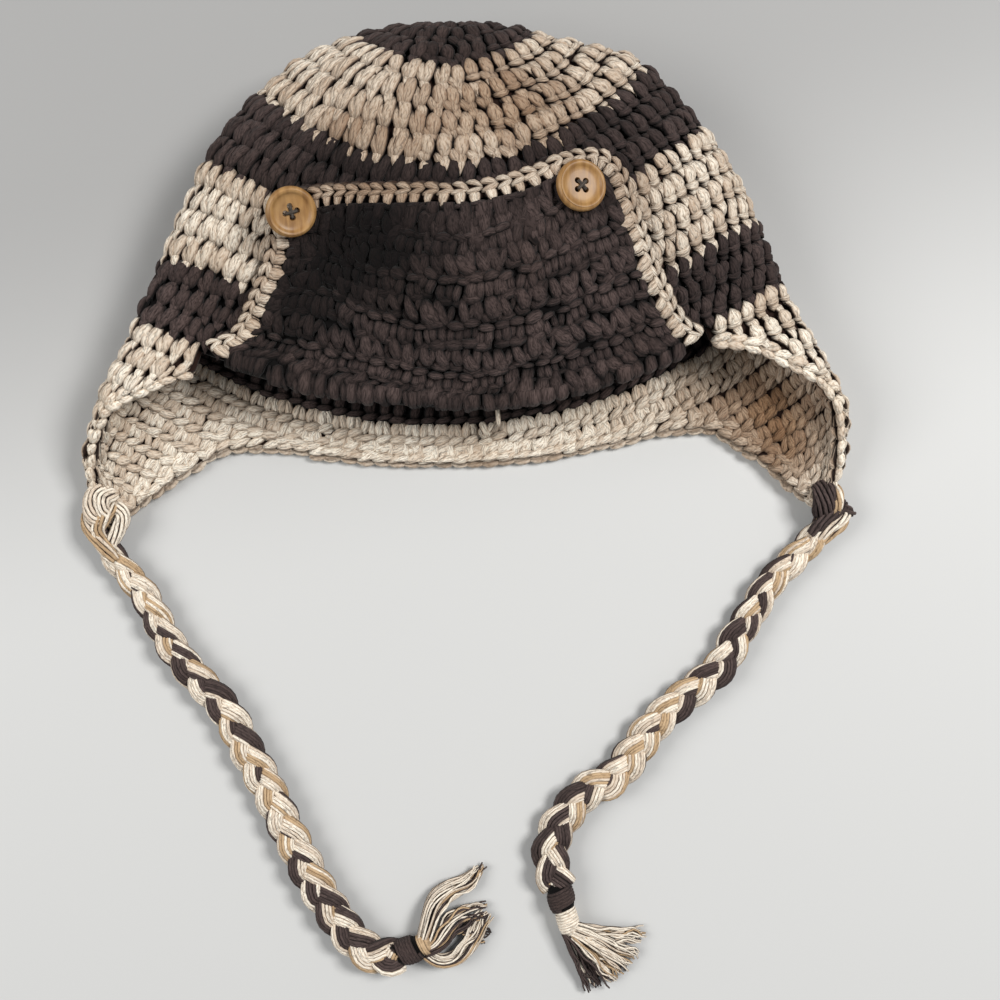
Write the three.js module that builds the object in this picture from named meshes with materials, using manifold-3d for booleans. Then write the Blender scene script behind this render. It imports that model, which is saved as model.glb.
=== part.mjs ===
// Crocheted baby hat with ear flaps, a turned-up front panel on two buttons and two plaited ties.
// It lies on its back. Millimetres, +Z up, crown towards +Y, mouth towards -Y, front of the hat up.
// The origin is under the middle of the hat's own box, on the surface that it lies on.
//
// A place on the cloth is (along, around): along is the distance from the crown's middle,
// around is 0 at the middle of the back, 90 at the right side and 180 at the middle of the front.

import * as THREE from 'three';
import { mergeVertices } from 'three/addons/utils/BufferGeometryUtils.js';
import Module from 'manifold-3d';

// Driving sizes
const WALL = 4.6;                 // thickness of the crocheted cloth
const GAP = 0.3;                  // air between neighbouring pieces
const STRIPE_GAP = 0.5;           // the same between two stripes, along the cloth
const PANEL_WALL = 4.2;           // thickness of the turned-up front panel
const PANEL_CLEARANCE = 0.8;
const PANEL_LIFT = WALL / 2 + PANEL_CLEARANCE + PANEL_WALL / 2;   // between the two middles
const EDGING_WIDTH = 5.0;
const EDGING_CLEARANCE = 0.6;     // between the edging and the panel, along the cloth
const BUTTON_DIAMETER = 15.0;
const BUTTON_THICKNESS = 3.2;
const BUTTON_HOLE = 1.6;
const BUTTON_HOLE_SPACING = 2.5;
const THREAD_DIAMETER = 0.9;
const BRAID_DIAMETER = 10.0;
const BRAID_SIDES = 10;
const WRAP_DIAMETER = 9.6;
const WRAP_LENGTH = 7.0;
const NECK_DIAMETER = 7.6;
const KNOT_CLEARANCE = 0.6;       // from the flap that it grips, along each axis
const COLUMNS_ROUND = 48;         // facets round the hat

// Where each stripe ends, as a distance from the crown's middle
const STRIPE_ENDS = { disc: 28, cream1: 62, dark2: 88, cream2: 120, dark3: 141 };
const FOLD = STRIPE_ENDS.dark3;   // the front panel turns up here

// Colours from the photo
const CREAM = { color: 0xd8c4a4, roughness: 0.9, metalness: 0 };
const DARK = { color: 0x3d3331, roughness: 0.92, metalness: 0 };
const PLAIT = { color: 0xa8947c, roughness: 0.9, metalness: 0 };
const WOOD = { color: 0xcda56c, roughness: 0.55, metalness: 0 };
const THREAD = { color: 0x2a2120, roughness: 0.9, metalness: 0 };

// Sections of the lying hat, a row for each ring of the cloth
const RING_COLUMNS = ['along', 'centreX', 'halfWidth', 'backY', 'backZ', 'sideY', 'sideZ', 'frontY', 'frontZ',
  'frontBow', 'lean'];
const RINGS = [
  [0, -5.0, 0.0, 74.8, 28.0, 74.8, 28.0, 74.8, 28.0, 1.6, 0.0],
  [14, -5.0, 13.9, 72.5, 15.0, 74.2, 28.5, 70.5, 39.5, 1.6, 1.0],
  [28, -5.0, 27.8, 64.0, 5.0, 71.8, 28.0, 58.5, 46.5, 1.6, 2.0],
  [45, -3.0, 43.8, 48.5, 2.3, 66.7, 27.0, 44.0, 51.0, 1.7, 3.0],
  [62, -1.0, 58.2, 31.0, 2.3, 58.0, 26.0, 28.5, 52.5, 1.8, 4.5],
  [88, -0.5, 76.1, 5.0, 2.3, 39.0, 25.0, 7.0, 51.0, 2.4, 6.0],
  [105, 0.0, 84.0, -10.0, 2.3, 24.5, 25.0, -7.0, 47.5, 2.5, 6.0],
  [120, 0.0, 90.0, -24.0, 2.3, 11.0, 24.5, -18.5, 42.0, 2.5, 6.0],
  [141, 0.0, 98.2, -43.5, 2.3, -8.0, 24.0, -36.5, 31.0, 2.2, 6.0],
  [155, 1.2, 105.3, -56.5, 2.3, -21.0, 23.0, -47.0, 36.0, 1.8, 5.3],
  [175, 1.2, 115.5, -75.0, 2.3, -40.0, 19.0, -66.0, 40.0, 1.6, 4.0],
  [195, -1.0, 119.5, -95.0, 2.3, -58.0, 12.0, -88.0, 30.0, 1.6, 3.5],
  [214, -1.0, 118.0, -112.0, 2.3, -73.5, 6.0, -108.0, 12.0, 1.6, 3.0],
  [230, -1.0, 117.0, -126.0, 2.3, -87.0, 3.5, -122.0, 6.0, 1.6, 3.0],
];
const BACK_FLAT = 0.8;            // cosine of the angle within which the back lies flat
const BACK_BOW = 1.6;
const FRONT_ROUND = 1.0;

// Soft bulges (+) and dents (-) in the cloth
const LUMP_COLUMNS = ['along', 'around', 'halfAlong', 'halfAround', 'height'];
const LUMPS = [
  [43, -152, 18, 22, 3.0],
  [48, 172, 18, 22, -2.0],
  [52, 130, 16, 14, -4.0],
  [58, 100, 14, 24, 2.5],
  [105, -138, 34, 26, -4.5],
  [98, -150, 24, 12, -6.0],
  [94, 176, 30, 12, 2.5],
];

// The free edge: its distance from the crown's middle for each angle away from the back.
// Columns: around, along
const RIM = [
  [0, 155], [20, 156], [35, 158], [45, 163], [51, 173], [57, 184], [64, 196], [72, 206], [79, 211],
  [85, 207], [89, 196], [93, 183], [99, 172], [112, 161], [123, 151], [134, 145],
];
const FLAP_FRONTS = { left: -125.5, right: 130.5 };   // the flaps' front ends, beside the panel's feet
const RIM_ANGLES = [0, 10, 20, 29, 37, 44, 48, 52, 56, 60, 64, 68, 72, 76, 79, 82, 85, 87, 89, 91, 93, 96, 99,
  105, 112, 118, 123, 127];

// Outer border of the turned-up panel, from its left foot over the top to its right foot.
// Columns: along, around
const BORDER = [
  [141, -127], [132, -132.5], [119, -135], [107, -135], [96, -133.5], [86, -135], [73, -149],
  [69, -170], [70, 177], [69, 165], [68, 153], [73, 143.5], [82, 140.5], [94, 141], [106, 141],
  [122, 139.5], [134, 136], [141, 132],
];
const BORDER_LEFT_CORNER = 5 / 17;      // sixth and twelfth of the 18 points
const BORDER_RIGHT_CORNER = 11 / 17;

// Buttons: place on the cloth, turn in the panel's plane, extra lean to the side, in degrees
const BUTTONS = {
  left: { along: 88, around: -139, turn: -30, lean: 26 },
  right: { along: 81.5, around: 153, turn: 0, lean: 6 },
};

// Middle lines of the ties, from the flap's tip to the wrap, lying on the surface
const TIES = {
  left: {
    knot: { at: [-118.3, -78.4, 5.2], size: [10, 9.4, 9] },
    points: [[-117, -83.5, 5.4], [-114, -88.5, 5.1], [-106.4, -98.3, 5.1], [-98.3, -112.9, 5.1],
      [-87.9, -126.6, 5.1], [-80.7, -134.7, 5.1], [-72.3, -149.3, 5.1], [-65.1, -161.7, 5.1],
      [-59, -176.3, 5.1], [-51.5, -190.6, 5.1], [-43.4, -202.9, 5.1], [-37, -211.8, 5.1],
      [-31.5, -216.5, 5.1], [-26.8, -217.6, 5.1], [-22.8, -216.2, 5.1]],
    neckLength: 3,
    locks: [
      { root: [-13.6, -213, 4.6], bend: [-4, -204, 4.4], tip: [7, -186.3, 2.6], width: 9, thickness: 6 },
      { root: [-13.6, -213, 4.4], bend: [-4, -207.5, 4.0], tip: [6.4, -201.9, 2.4], width: 9, thickness: 6 },
      { root: [-13.6, -213, 4.4], bend: [-4, -213, 4.0], tip: [5.4, -215.6, 2.4], width: 9, thickness: 6 },
    ],
  },
  right: {
    knot: { at: [118, -70.5, 7], size: [9.5, 10, 10] },
    points: [[116.5, -75.6, 5.6], [111, -82.4, 5.1], [97.7, -95.7, 5.1], [92.1, -105.8, 5.1],
      [87.6, -112.6, 5.1], [83, -121.4, 5.1], [75.2, -128.2, 5.1], [67.4, -134.7, 5.1],
      [60.9, -141.5, 5.1], [54.1, -150.6, 5.1], [47.3, -158.4, 5.1], [38.5, -162.6, 5.1],
      [32.7, -169.5, 5.1], [27.8, -178.6, 5.1], [27, -186.5, 5.1], [29, -194, 5.1]],
    neckLength: 8,
    locks: [
      { root: [32.6, -207.5, 4.6], bend: [42, -210, 4.2], tip: [58.7, -210.7, 2.6], width: 9, thickness: 6 },
      { root: [32.6, -207.5, 4.4], bend: [41, -213, 4.0], tip: [56.7, -217.5, 2.4], width: 8, thickness: 6 },
      { root: [32.6, -207.5, 4.4], bend: [39, -215, 4.0], tip: [51.8, -223.1, 2.4], width: 8, thickness: 6 },
      { root: [32.6, -207.5, 4.4], bend: [36, -216, 4.0], tip: [41.8, -228.9, 2.4], width: 8, thickness: 6 },
    ],
  },
};

const wasm = await Module();
wasm.setup();

// Monotone cubic curve through (xs, ys)
function smooth(x, xs, ys) {
  const last = xs.length - 1;
  const place = Math.min(Math.max(x, xs[0]), xs[last]);
  let i = 0;
  while (i < last - 1 && place >= xs[i + 1]) i += 1;
  const step = (k) => xs[k + 1] - xs[k];
  const rise = (k) => (ys[k + 1] - ys[k]) / step(k);
  const slope = (k) => {
    if (k === 0) return rise(0);
    if (k === last) return rise(last - 1);
    const before = rise(k - 1);
    const after = rise(k);
    if (before * after <= 0) return 0;
    const weightBefore = 2 * step(k) + step(k - 1);
    const weightAfter = step(k) + 2 * step(k - 1);
    return (weightBefore + weightAfter) / (weightBefore / before + weightAfter / after);
  };
  const h = step(i);
  const t = (place - xs[i]) / h;
  return (1 + 2 * t) * (1 - t) ** 2 * ys[i] + t * (1 - t) ** 2 * h * slope(i)
    + t * t * (3 - 2 * t) * ys[i + 1] + t * t * (t - 1) * h * slope(i + 1);
}

const ringValues = {};
RING_COLUMNS.forEach((name, k) => {
  ringValues[name] = RINGS.map((row) => row[k]);
});

function ring(along, name) {
  return smooth(along, ringValues.along, ringValues[name]);
}

function rimAlong(around) {
  return smooth(Math.abs(around), RIM.map(([angle]) => angle), RIM.map(([, reach]) => reach));
}

// Middle of the cloth without bulges and dents
function plainCloth(along, around) {
  const angle = THREE.MathUtils.degToRad(around);
  const s = along - ring(along, 'lean') * Math.sin(angle);
  const c = Math.cos(angle);
  const reach = Math.abs(c);
  const sideY = ring(s, 'sideY');
  const sideZ = ring(s, 'sideZ');
  const x = ring(s, 'centreX') + ring(s, 'halfWidth') * Math.sin(angle);
  if (c > 0) {
    const rise = 1 - (Math.max(BACK_FLAT - reach, 0) / BACK_FLAT) ** 2;
    return new THREE.Vector3(x, sideY + (ring(s, 'backY') - sideY) * reach ** BACK_BOW,
      sideZ + (ring(s, 'backZ') - sideZ) * rise);
  }
  const rise = 1 - (1 - reach) ** FRONT_ROUND;
  return new THREE.Vector3(x, sideY + (ring(s, 'frontY') - sideY) * reach ** ring(s, 'frontBow'),
    sideZ + (ring(s, 'frontZ') - sideZ) * rise);
}

function outwardNormal(surface, along, around) {
  const reach = 0.5;
  const down = surface(along + reach, around).sub(surface(Math.max(along - reach, 0.05), around));
  const side = surface(along, around + reach).sub(surface(along, around - reach));
  return side.cross(down).normalize();
}

function lumpHeight(along, around) {
  let height = 0;
  for (const row of LUMPS) {
    const lump = Object.fromEntries(LUMP_COLUMNS.map((name, k) => [name, row[k]]));
    const turn = THREE.MathUtils.euclideanModulo(around - lump.around + 180, 360) - 180;
    const far = ((along - lump.along) / lump.halfAlong) ** 2 + (turn / lump.halfAround) ** 2;
    height += lump.height * Math.exp(-far);
  }
  return height;
}

// Middle of the cloth, with its bulges and dents
function cloth(along, around) {
  const normal = outwardNormal(plainCloth, along, around);
  return plainCloth(along, around).addScaledVector(normal, lumpHeight(along, around));
}

// A point of the cloth, moved outward from its middle
function clothPoint(along, around, outward) {
  return cloth(along, around).addScaledVector(outwardNormal(cloth, along, around), outward);
}

function signedVolume(position, index) {
  const a = new THREE.Vector3();
  const b = new THREE.Vector3();
  const c = new THREE.Vector3();
  let volume = 0;
  for (let k = 0; k < index.length; k += 3) {
    a.fromBufferAttribute(position, index[k]);
    b.fromBufferAttribute(position, index[k + 1]);
    c.fromBufferAttribute(position, index[k + 2]);
    volume += a.dot(b.cross(c));
  }
  return volume;
}

// Closed body between two grids: place(i, j, side) gives a corner, side is +1 outside and -1 inside.
// A round body joins its last column to its first.
function slab(columns, rows, place, round) {
  const across = round ? columns : columns + 1;
  const points = [];
  for (const side of [1, -1]) {
    for (let j = 0; j <= rows; j += 1) {
      for (let i = 0; i < across; i += 1) points.push(...place(i, j, side).toArray());
    }
  }
  const corner = (i, j, side) => (side > 0 ? 0 : across * (rows + 1)) + j * across + (i % across);
  const faces = [];
  const quad = (a, b, c, d) => faces.push(a, b, c, a, c, d);
  for (let i = 0; i < columns; i += 1) {
    for (let j = 0; j < rows; j += 1) {
      quad(corner(i, j, 1), corner(i + 1, j, 1), corner(i + 1, j + 1, 1), corner(i, j + 1, 1));
      quad(corner(i, j, -1), corner(i, j + 1, -1), corner(i + 1, j + 1, -1), corner(i + 1, j, -1));
    }
    quad(corner(i, 0, 1), corner(i, 0, -1), corner(i + 1, 0, -1), corner(i + 1, 0, 1));
    quad(corner(i, rows, 1), corner(i + 1, rows, 1), corner(i + 1, rows, -1), corner(i, rows, -1));
  }
  if (!round) {
    for (let j = 0; j < rows; j += 1) {
      quad(corner(0, j, 1), corner(0, j + 1, 1), corner(0, j + 1, -1), corner(0, j, -1));
      quad(corner(columns, j, 1), corner(columns, j, -1), corner(columns, j + 1, -1),
        corner(columns, j + 1, 1));
    }
  }
  const geometry = new THREE.BufferGeometry();
  geometry.setAttribute('position', new THREE.Float32BufferAttribute(points, 3));
  geometry.setIndex(faces);
  return tidied(geometry);
}

// Shared corners merged, flat triangles dropped and faces turned outward
function tidied(geometry) {
  geometry.deleteAttribute('normal');
  geometry.deleteAttribute('uv');
  const merged = mergeVertices(geometry, 1e-3);
  const from = merged.index.array;
  const kept = [];
  for (let k = 0; k < from.length; k += 3) {
    const [a, b, c] = [from[k], from[k + 1], from[k + 2]];
    if (a !== b && b !== c && c !== a) kept.push(a, b, c);
  }
  if (signedVolume(merged.getAttribute('position'), kept) < 0) {
    for (let k = 0; k < kept.length; k += 3) [kept[k + 1], kept[k + 2]] = [kept[k + 2], kept[k + 1]];
  }
  merged.setIndex(kept);
  return merged;
}

function toSolid(geometry) {
  const closed = tidied(geometry.index ? geometry.clone() : mergeVertices(geometry.clone()));
  return new wasm.Manifold(new wasm.Mesh({
    numProp: 3,
    vertProperties: new Float32Array(closed.getAttribute('position').array),
    triVerts: new Uint32Array(closed.index.array),
  }));
}

function toGeometry(solid) {
  const mesh = solid.getMesh();
  const geometry = new THREE.BufferGeometry();
  geometry.setAttribute('position', new THREE.Float32BufferAttribute(mesh.vertProperties, 3));
  geometry.setIndex(Array.from(mesh.triVerts));
  return geometry;
}

function piece(name, geometry, finish) {
  geometry.computeVertexNormals();
  const mesh = new THREE.Mesh(geometry, new THREE.MeshStandardMaterial(finish));
  mesh.name = name;
  return mesh;
}

// One stripe of the crown between two distances from its middle
function stripe(name, from, to, rows, finish) {
  const geometry = slab(COLUMNS_ROUND, rows, (i, j, side) => {
    const along = from + (to - from) * (j / rows);
    return clothPoint(along, (i / COLUMNS_ROUND) * 360 - 180, side * WALL / 2);
  }, true);
  return piece(name, geometry, finish);
}

// The stripe below the crown's last one, whose free edge drops into the two ear flaps
function rimAndEarFlaps() {
  const from = STRIPE_ENDS.dark3 + STRIPE_GAP;
  const rows = 5;
  const leftAngles = RIM_ANGLES.filter((angle) => angle > 0 && angle < -FLAP_FRONTS.left - 2);
  const rightAngles = RIM_ANGLES.filter((angle) => angle < FLAP_FRONTS.right - 2);
  const around = [FLAP_FRONTS.left, ...leftAngles.reverse().map((angle) => -angle), ...rightAngles,
    FLAP_FRONTS.right];
  return slab(around.length - 1, rows, (i, j, side) => {
    const along = from + (rimAlong(around[i]) - from) * (j / rows);
    return clothPoint(along, around[i], (side * WALL) / 2);
  }, false);
}

// The panel's border as a curve over (along, around), and the same curve moved in by some distance.
// On this curve the front's middle is at 0 degrees, so that the angle runs on without a jump.
const borderCurve = new THREE.CatmullRomCurve3(
  BORDER.map(([along, around]) => new THREE.Vector3(along, around < 0 ? around + 180 : around - 180, 0)),
  false, 'centripetal');

function onFront(along, fromMiddle, outward) {
  return clothPoint(along, fromMiddle + 180, outward);
}

function borderPoint(t, inward) {
  const at = borderCurve.getPoint(t);
  const along = at.x;
  const around = at.y;
  const before = borderCurve.getPoint(Math.max(t - 0.004, 0));
  const after = borderCurve.getPoint(Math.min(t + 0.004, 1));
  const reach = 1;
  const perAlong = onFront(along + reach, around, 0).distanceTo(onFront(along - reach, around, 0)) / 2;
  const perAround = onFront(along, around + reach, 0).distanceTo(onFront(along, around - reach, 0)) / 2;
  const run = new THREE.Vector2((after.x - before.x) * perAlong, (after.y - before.y) * perAround)
    .normalize();
  return new THREE.Vector2(along + (-run.y * inward) / perAlong, around + (run.x * inward) / perAround);
}

// Where the border, moved in, crosses the fold: t just past one of its ends
function footOf(end, inward) {
  let low = end;
  let high = end === 0 ? BORDER_LEFT_CORNER : BORDER_RIGHT_CORNER;
  for (let k = 0; k < 20; k += 1) {
    const middle = (low + high) / 2;
    if (borderPoint(middle, inward).x > FOLD) low = middle;
    else high = middle;
  }
  return high;
}

const PANEL_INWARD = EDGING_WIDTH + EDGING_CLEARANCE;
const PANEL_FEET = [footOf(0, PANEL_INWARD), footOf(1, PANEL_INWARD)];

// Place on the panel: u runs from its left to its right border, v from the fold to its top
function panelPlace(u, v) {
  const border = (from, to, t) => borderPoint(from + (to - from) * t, PANEL_INWARD);
  const left = border(PANEL_FEET[0], BORDER_LEFT_CORNER, v);
  const right = border(PANEL_FEET[1], BORDER_RIGHT_CORNER, v);
  const top = border(BORDER_LEFT_CORNER, BORDER_RIGHT_CORNER, u);
  const feet = [border(PANEL_FEET[0], 0, 0), border(PANEL_FEET[1], 1, 0)];
  const corners = [border(BORDER_LEFT_CORNER, 0, 0), border(BORDER_RIGHT_CORNER, 0, 0)];
  const bottom = feet[0].clone().lerp(feet[1], u);
  const sides = left.lerp(right, u);
  const ends = bottom.clone().lerp(top, v);
  const flat = bottom.lerp(corners[0].lerp(corners[1], u), v);
  return sides.add(ends).sub(flat);
}

// Point of the panel's fold: turn 0 faces the cloth's edge, turn 180 lies over the cloth
function foldPoint(around, turn, outward) {
  const normal = outwardNormal(cloth, FOLD, around + 180);
  const down = onFront(FOLD, around, 0).sub(onFront(FOLD - 1, around, 0)).normalize();
  const radius = PANEL_LIFT / 2;
  const angle = THREE.MathUtils.degToRad(turn);
  const far = radius + outward;
  return onFront(FOLD, around, radius)
    .addScaledVector(down, GAP + Math.sin(angle) * far)
    .addScaledVector(normal, -Math.cos(angle) * far);
}

function frontPanel() {
  const columns = 24;
  const foldRows = 3;
  const flatRows = 9;
  return slab(columns, foldRows + flatRows, (i, j, side) => {
    const u = i / columns;
    if (j < foldRows) {
      return foldPoint(panelPlace(u, 0).y, (180 * j) / foldRows, (side * PANEL_WALL) / 2);
    }
    const place = panelPlace(u, (j - foldRows) / flatRows);
    return onFront(place.x, place.y, PANEL_LIFT + (side * PANEL_WALL) / 2);
  }, false);
}

function panelEdging() {
  const columns = 44;
  return slab(columns, 2, (i, j, side) => {
    const place = borderPoint(i / columns, (EDGING_WIDTH * j) / 2);
    return onFront(place.x, place.y, PANEL_LIFT + (side * PANEL_WALL) / 2);
  }, false);
}

// Button, with a raised rim and a dished middle, its back at z = 0
function buttonBody() {
  const r = BUTTON_DIAMETER / 2;
  const t = BUTTON_THICKNESS;
  const profile = [[0, 0], [r * 0.8, 0], [r, t * 0.35], [r, t * 0.7], [r * 0.93, t], [r * 0.8, t],
    [r * 0.7, t * 0.7], [0, t * 0.62]].map(([x, y]) => new THREE.Vector2(x, y));
  let solid = toSolid(new THREE.LatheGeometry(profile, 28).rotateX(Math.PI / 2));
  for (const [x, y] of holePlaces()) {
    const drill = new THREE.CylinderGeometry(BUTTON_HOLE / 2, BUTTON_HOLE / 2, 4 * t, 10);
    solid = solid.subtract(toSolid(drill.rotateX(Math.PI / 2).translate(x, y, 0)));
  }
  return toGeometry(solid);
}

function holePlaces() {
  const half = BUTTON_HOLE_SPACING / 2;
  return [[half, half], [-half, half], [-half, -half], [half, -half]];
}

// Thread through the four holes, crossed on the button's face
function buttonThread() {
  const top = BUTTON_THICKNESS * 0.7 + GAP + THREAD_DIAMETER / 2;
  const reach = BUTTON_HOLE_SPACING * Math.SQRT1_2;
  let solid = null;
  const join = (geometry) => {
    const next = toSolid(geometry);
    solid = solid ? solid.add(next) : next;
  };
  const bar = new THREE.BoxGeometry(2 * reach + THREAD_DIAMETER, THREAD_DIAMETER, THREAD_DIAMETER);
  join(bar.clone().rotateZ(Math.PI / 4).translate(0, 0, top));
  join(bar.clone().rotateZ(-Math.PI / 4).translate(0, 0, top));
  for (const [x, y] of holePlaces()) {
    const leg = new THREE.CylinderGeometry(THREAD_DIAMETER / 2, THREAD_DIAMETER / 2, top, 8);
    join(leg.rotateX(Math.PI / 2).translate(x, y, top / 2));
  }
  return toGeometry(solid);
}

function placeButton(mesh, button) {
  const surfaceLift = PANEL_LIFT + PANEL_WALL / 2;
  const normal = outwardNormal(cloth, button.along, button.around);
  const lean = THREE.MathUtils.degToRad(button.lean);
  const facing = normal.clone().applyAxisAngle(new THREE.Vector3(0, 1, 0), lean);
  const clearance = GAP + Math.abs(Math.sin(lean)) * BUTTON_DIAMETER * 0.4;
  mesh.position.copy(clothPoint(button.along, button.around, surfaceLift)).addScaledVector(normal, clearance);
  mesh.quaternion.setFromUnitVectors(new THREE.Vector3(0, 0, 1), facing);
  mesh.rotateZ(THREE.MathUtils.degToRad(button.turn));
  return mesh;
}

function toVector(point) {
  return new THREE.Vector3(...point);
}

function disc(radius, sides) {
  const outline = new THREE.Shape();
  for (let k = 0; k < sides; k += 1) {
    const angle = ((k + 0.5) / sides) * 2 * Math.PI;
    const at = [radius * Math.cos(angle), radius * Math.sin(angle)];
    if (k === 0) outline.moveTo(...at);
    else outline.lineTo(...at);
  }
  return outline;
}

function tieCurve(tie) {
  return new THREE.CatmullRomCurve3(tie.points.map(toVector), false, 'centripetal');
}

// Plaited tie as a plain round cord
function plait(tie) {
  const path = tieCurve(tie);
  const steps = Math.ceil(path.getLength() / (1.3 * BRAID_DIAMETER));
  const settings = { steps, extrudePath: path, bevelEnabled: false, curveSegments: 1 };
  return tidied(new THREE.ExtrudeGeometry(disc(BRAID_DIAMETER / 2, BRAID_SIDES), settings));
}

// Short barrel of thread wound round the cord, just past its end
function wrap(tie) {
  const end = toVector(tie.points[tie.points.length - 1]);
  const aim = tieCurve(tie).getTangent(1);
  const r = WRAP_DIAMETER / 2;
  const profile = [[0, 0], [r * 0.85, 0], [r, 1.2], [r, WRAP_LENGTH - 1.2], [r * 0.85, WRAP_LENGTH],
    [0, WRAP_LENGTH]].map(([x, y]) => new THREE.Vector2(x, y));
  const barrel = new THREE.LatheGeometry(profile, 14);
  const mesh = new THREE.Object3D();
  mesh.position.copy(end).addScaledVector(aim, GAP);
  mesh.quaternion.setFromUnitVectors(new THREE.Vector3(0, 1, 0), aim);
  mesh.updateMatrix();
  return tidied(barrel.applyMatrix4(mesh.matrix));
}

// One flattened lock of a tassel, thick at its root and thin at its tip
function lock(shape) {
  const ends = [shape.root, shape.bend, shape.tip].map(toVector);
  const path = new THREE.QuadraticBezierCurve3(...ends);
  const sides = 8;
  const steps = 5;
  const swell = [0.55, 0.8, 1, 1, 0.85, 0.5];
  return slab(sides, steps, (i, j, side) => {
    const at = path.getPoint(j / steps);
    if (side < 0) return at;
    const along = path.getTangent(j / steps);
    const across = new THREE.Vector3(0, 0, 1).cross(along).normalize();
    const up = along.clone().cross(across);
    const angle = (i / sides) * 2 * Math.PI;
    return at.addScaledVector(across, Math.cos(angle) * 0.5 * shape.width * swell[j])
      .addScaledVector(up, Math.sin(angle) * 0.5 * shape.thickness * swell[j]);
  }, true);
}

// Tassel: locks of loose yarn fused to a short neck at the wrap
function tassel(tie) {
  const end = toVector(tie.points[tie.points.length - 1]);
  const aim = tieCurve(tie).getTangent(1);
  const start = end.clone().addScaledVector(aim, WRAP_LENGTH + 2 * GAP + tie.neckLength / 2);
  const neck = new THREE.CylinderGeometry(NECK_DIAMETER / 2, NECK_DIAMETER / 2, tie.neckLength, 12);
  const holder = new THREE.Object3D();
  holder.position.copy(start);
  holder.quaternion.setFromUnitVectors(new THREE.Vector3(0, 1, 0), aim);
  holder.updateMatrix();
  let solid = toSolid(neck.applyMatrix4(holder.matrix));
  for (const shape of tie.locks) solid = solid.add(toSolid(lock(shape)));
  return toGeometry(solid);
}

// Knot that grips the flap's tip
function knot(tie) {
  const ball = new THREE.SphereGeometry(0.5, 12, 8);
  ball.scale(...tie.knot.size).translate(...tie.knot.at);
  const flaps = toSolid(rimAndEarFlaps());
  let solid = toSolid(ball);
  for (const axis of [0, 1, 2]) {
    for (const way of [-KNOT_CLEARANCE, KNOT_CLEARANCE]) {
      const shift = [0, 0, 0];
      shift[axis] = way;
      solid = solid.subtract(flaps.translate(shift));
    }
  }
  return toGeometry(solid);
}

const hat = new THREE.Group();
const { disc: discEnd, cream1, dark2, cream2, dark3 } = STRIPE_ENDS;
hat.add(stripe('crown_disc_dark', 0, discEnd, 3, DARK));
hat.add(stripe('crown_band_cream_1', discEnd + STRIPE_GAP, cream1, 4, CREAM));
hat.add(stripe('crown_band_dark_2', cream1 + STRIPE_GAP, dark2, 3, DARK));
hat.add(stripe('crown_band_cream_2', dark2 + STRIPE_GAP, cream2, 4, CREAM));
hat.add(stripe('crown_band_dark_3', cream2 + STRIPE_GAP, dark3, 3, DARK));
hat.add(piece('rim_and_ear_flaps', rimAndEarFlaps(), CREAM));
hat.add(piece('brim_panel', frontPanel(), DARK));
hat.add(piece('brim_edging', panelEdging(), CREAM));
for (const side of ['left', 'right']) {
  hat.add(placeButton(piece(`button_${side}`, buttonBody(), WOOD), BUTTONS[side]));
  hat.add(placeButton(piece(`button_thread_${side}`, buttonThread(), THREAD), BUTTONS[side]));
  hat.add(piece(`tie_knot_${side}`, knot(TIES[side]), side === 'left' ? CREAM : DARK));
  hat.add(piece(`tie_braid_${side}`, plait(TIES[side]), PLAIT));
  hat.add(piece(`tie_wrap_${side}`, wrap(TIES[side]), DARK));
  hat.add(piece(`tassel_${side}`, tassel(TIES[side]), PLAIT));
}

export default hat;
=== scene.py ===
"""Crocheted baby hat with ear flaps, a turned-up front panel on two wooden buttons and two plaited ties.

Lengths are in millimetres until a mesh is made. A place on the cloth is (along, around): along is the
distance from the crown's middle, around is 0 at the middle of the back, 90 at the right side and 180 at
the middle of the front. The hat lies on its back, crown towards +Y and mouth towards -Y.
"""

import math

import bpy
import numpy as np
from mathutils import Matrix, Vector


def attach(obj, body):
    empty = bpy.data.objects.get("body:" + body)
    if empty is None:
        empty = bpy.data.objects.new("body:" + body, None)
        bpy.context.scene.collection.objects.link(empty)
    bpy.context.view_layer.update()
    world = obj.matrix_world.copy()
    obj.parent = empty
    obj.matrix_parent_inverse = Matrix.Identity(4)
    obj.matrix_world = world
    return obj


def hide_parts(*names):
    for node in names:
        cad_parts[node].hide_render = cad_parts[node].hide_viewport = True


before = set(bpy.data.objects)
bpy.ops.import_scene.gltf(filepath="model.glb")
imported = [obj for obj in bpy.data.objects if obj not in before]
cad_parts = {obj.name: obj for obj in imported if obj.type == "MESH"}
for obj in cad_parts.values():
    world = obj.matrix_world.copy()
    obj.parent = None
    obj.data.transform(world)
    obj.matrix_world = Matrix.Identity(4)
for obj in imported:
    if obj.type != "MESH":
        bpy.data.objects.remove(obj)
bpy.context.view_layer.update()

MM = 0.001
random = np.random.default_rng(27)

# Sizes of the cloth, the same as the solids have
WALL = 4.6
PANEL_WALL = 4.2
PANEL_CLEARANCE = 0.8
PANEL_LIFT = WALL / 2 + PANEL_CLEARANCE + PANEL_WALL / 2
FOLD_GAP = 0.3
EDGING_WIDTH = 5.0
EDGING_CLEARANCE = 0.6
BUTTON_DIAMETER = 15.0
BUTTON_THICKNESS = 3.2
BUTTON_HOLE = 1.6
THREAD_RADIUS = 0.25
HOLE_REACH = 1.25           # half the distance between the buttons' holes
WRAP_DIAMETER = 9.6
WRAP_LENGTH = 7.0
NECK_DIAMETER = 7.6
GAP = 0.3
UP = np.array([0.0, 0.0, 1.0])
FOLD = 141.0

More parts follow.
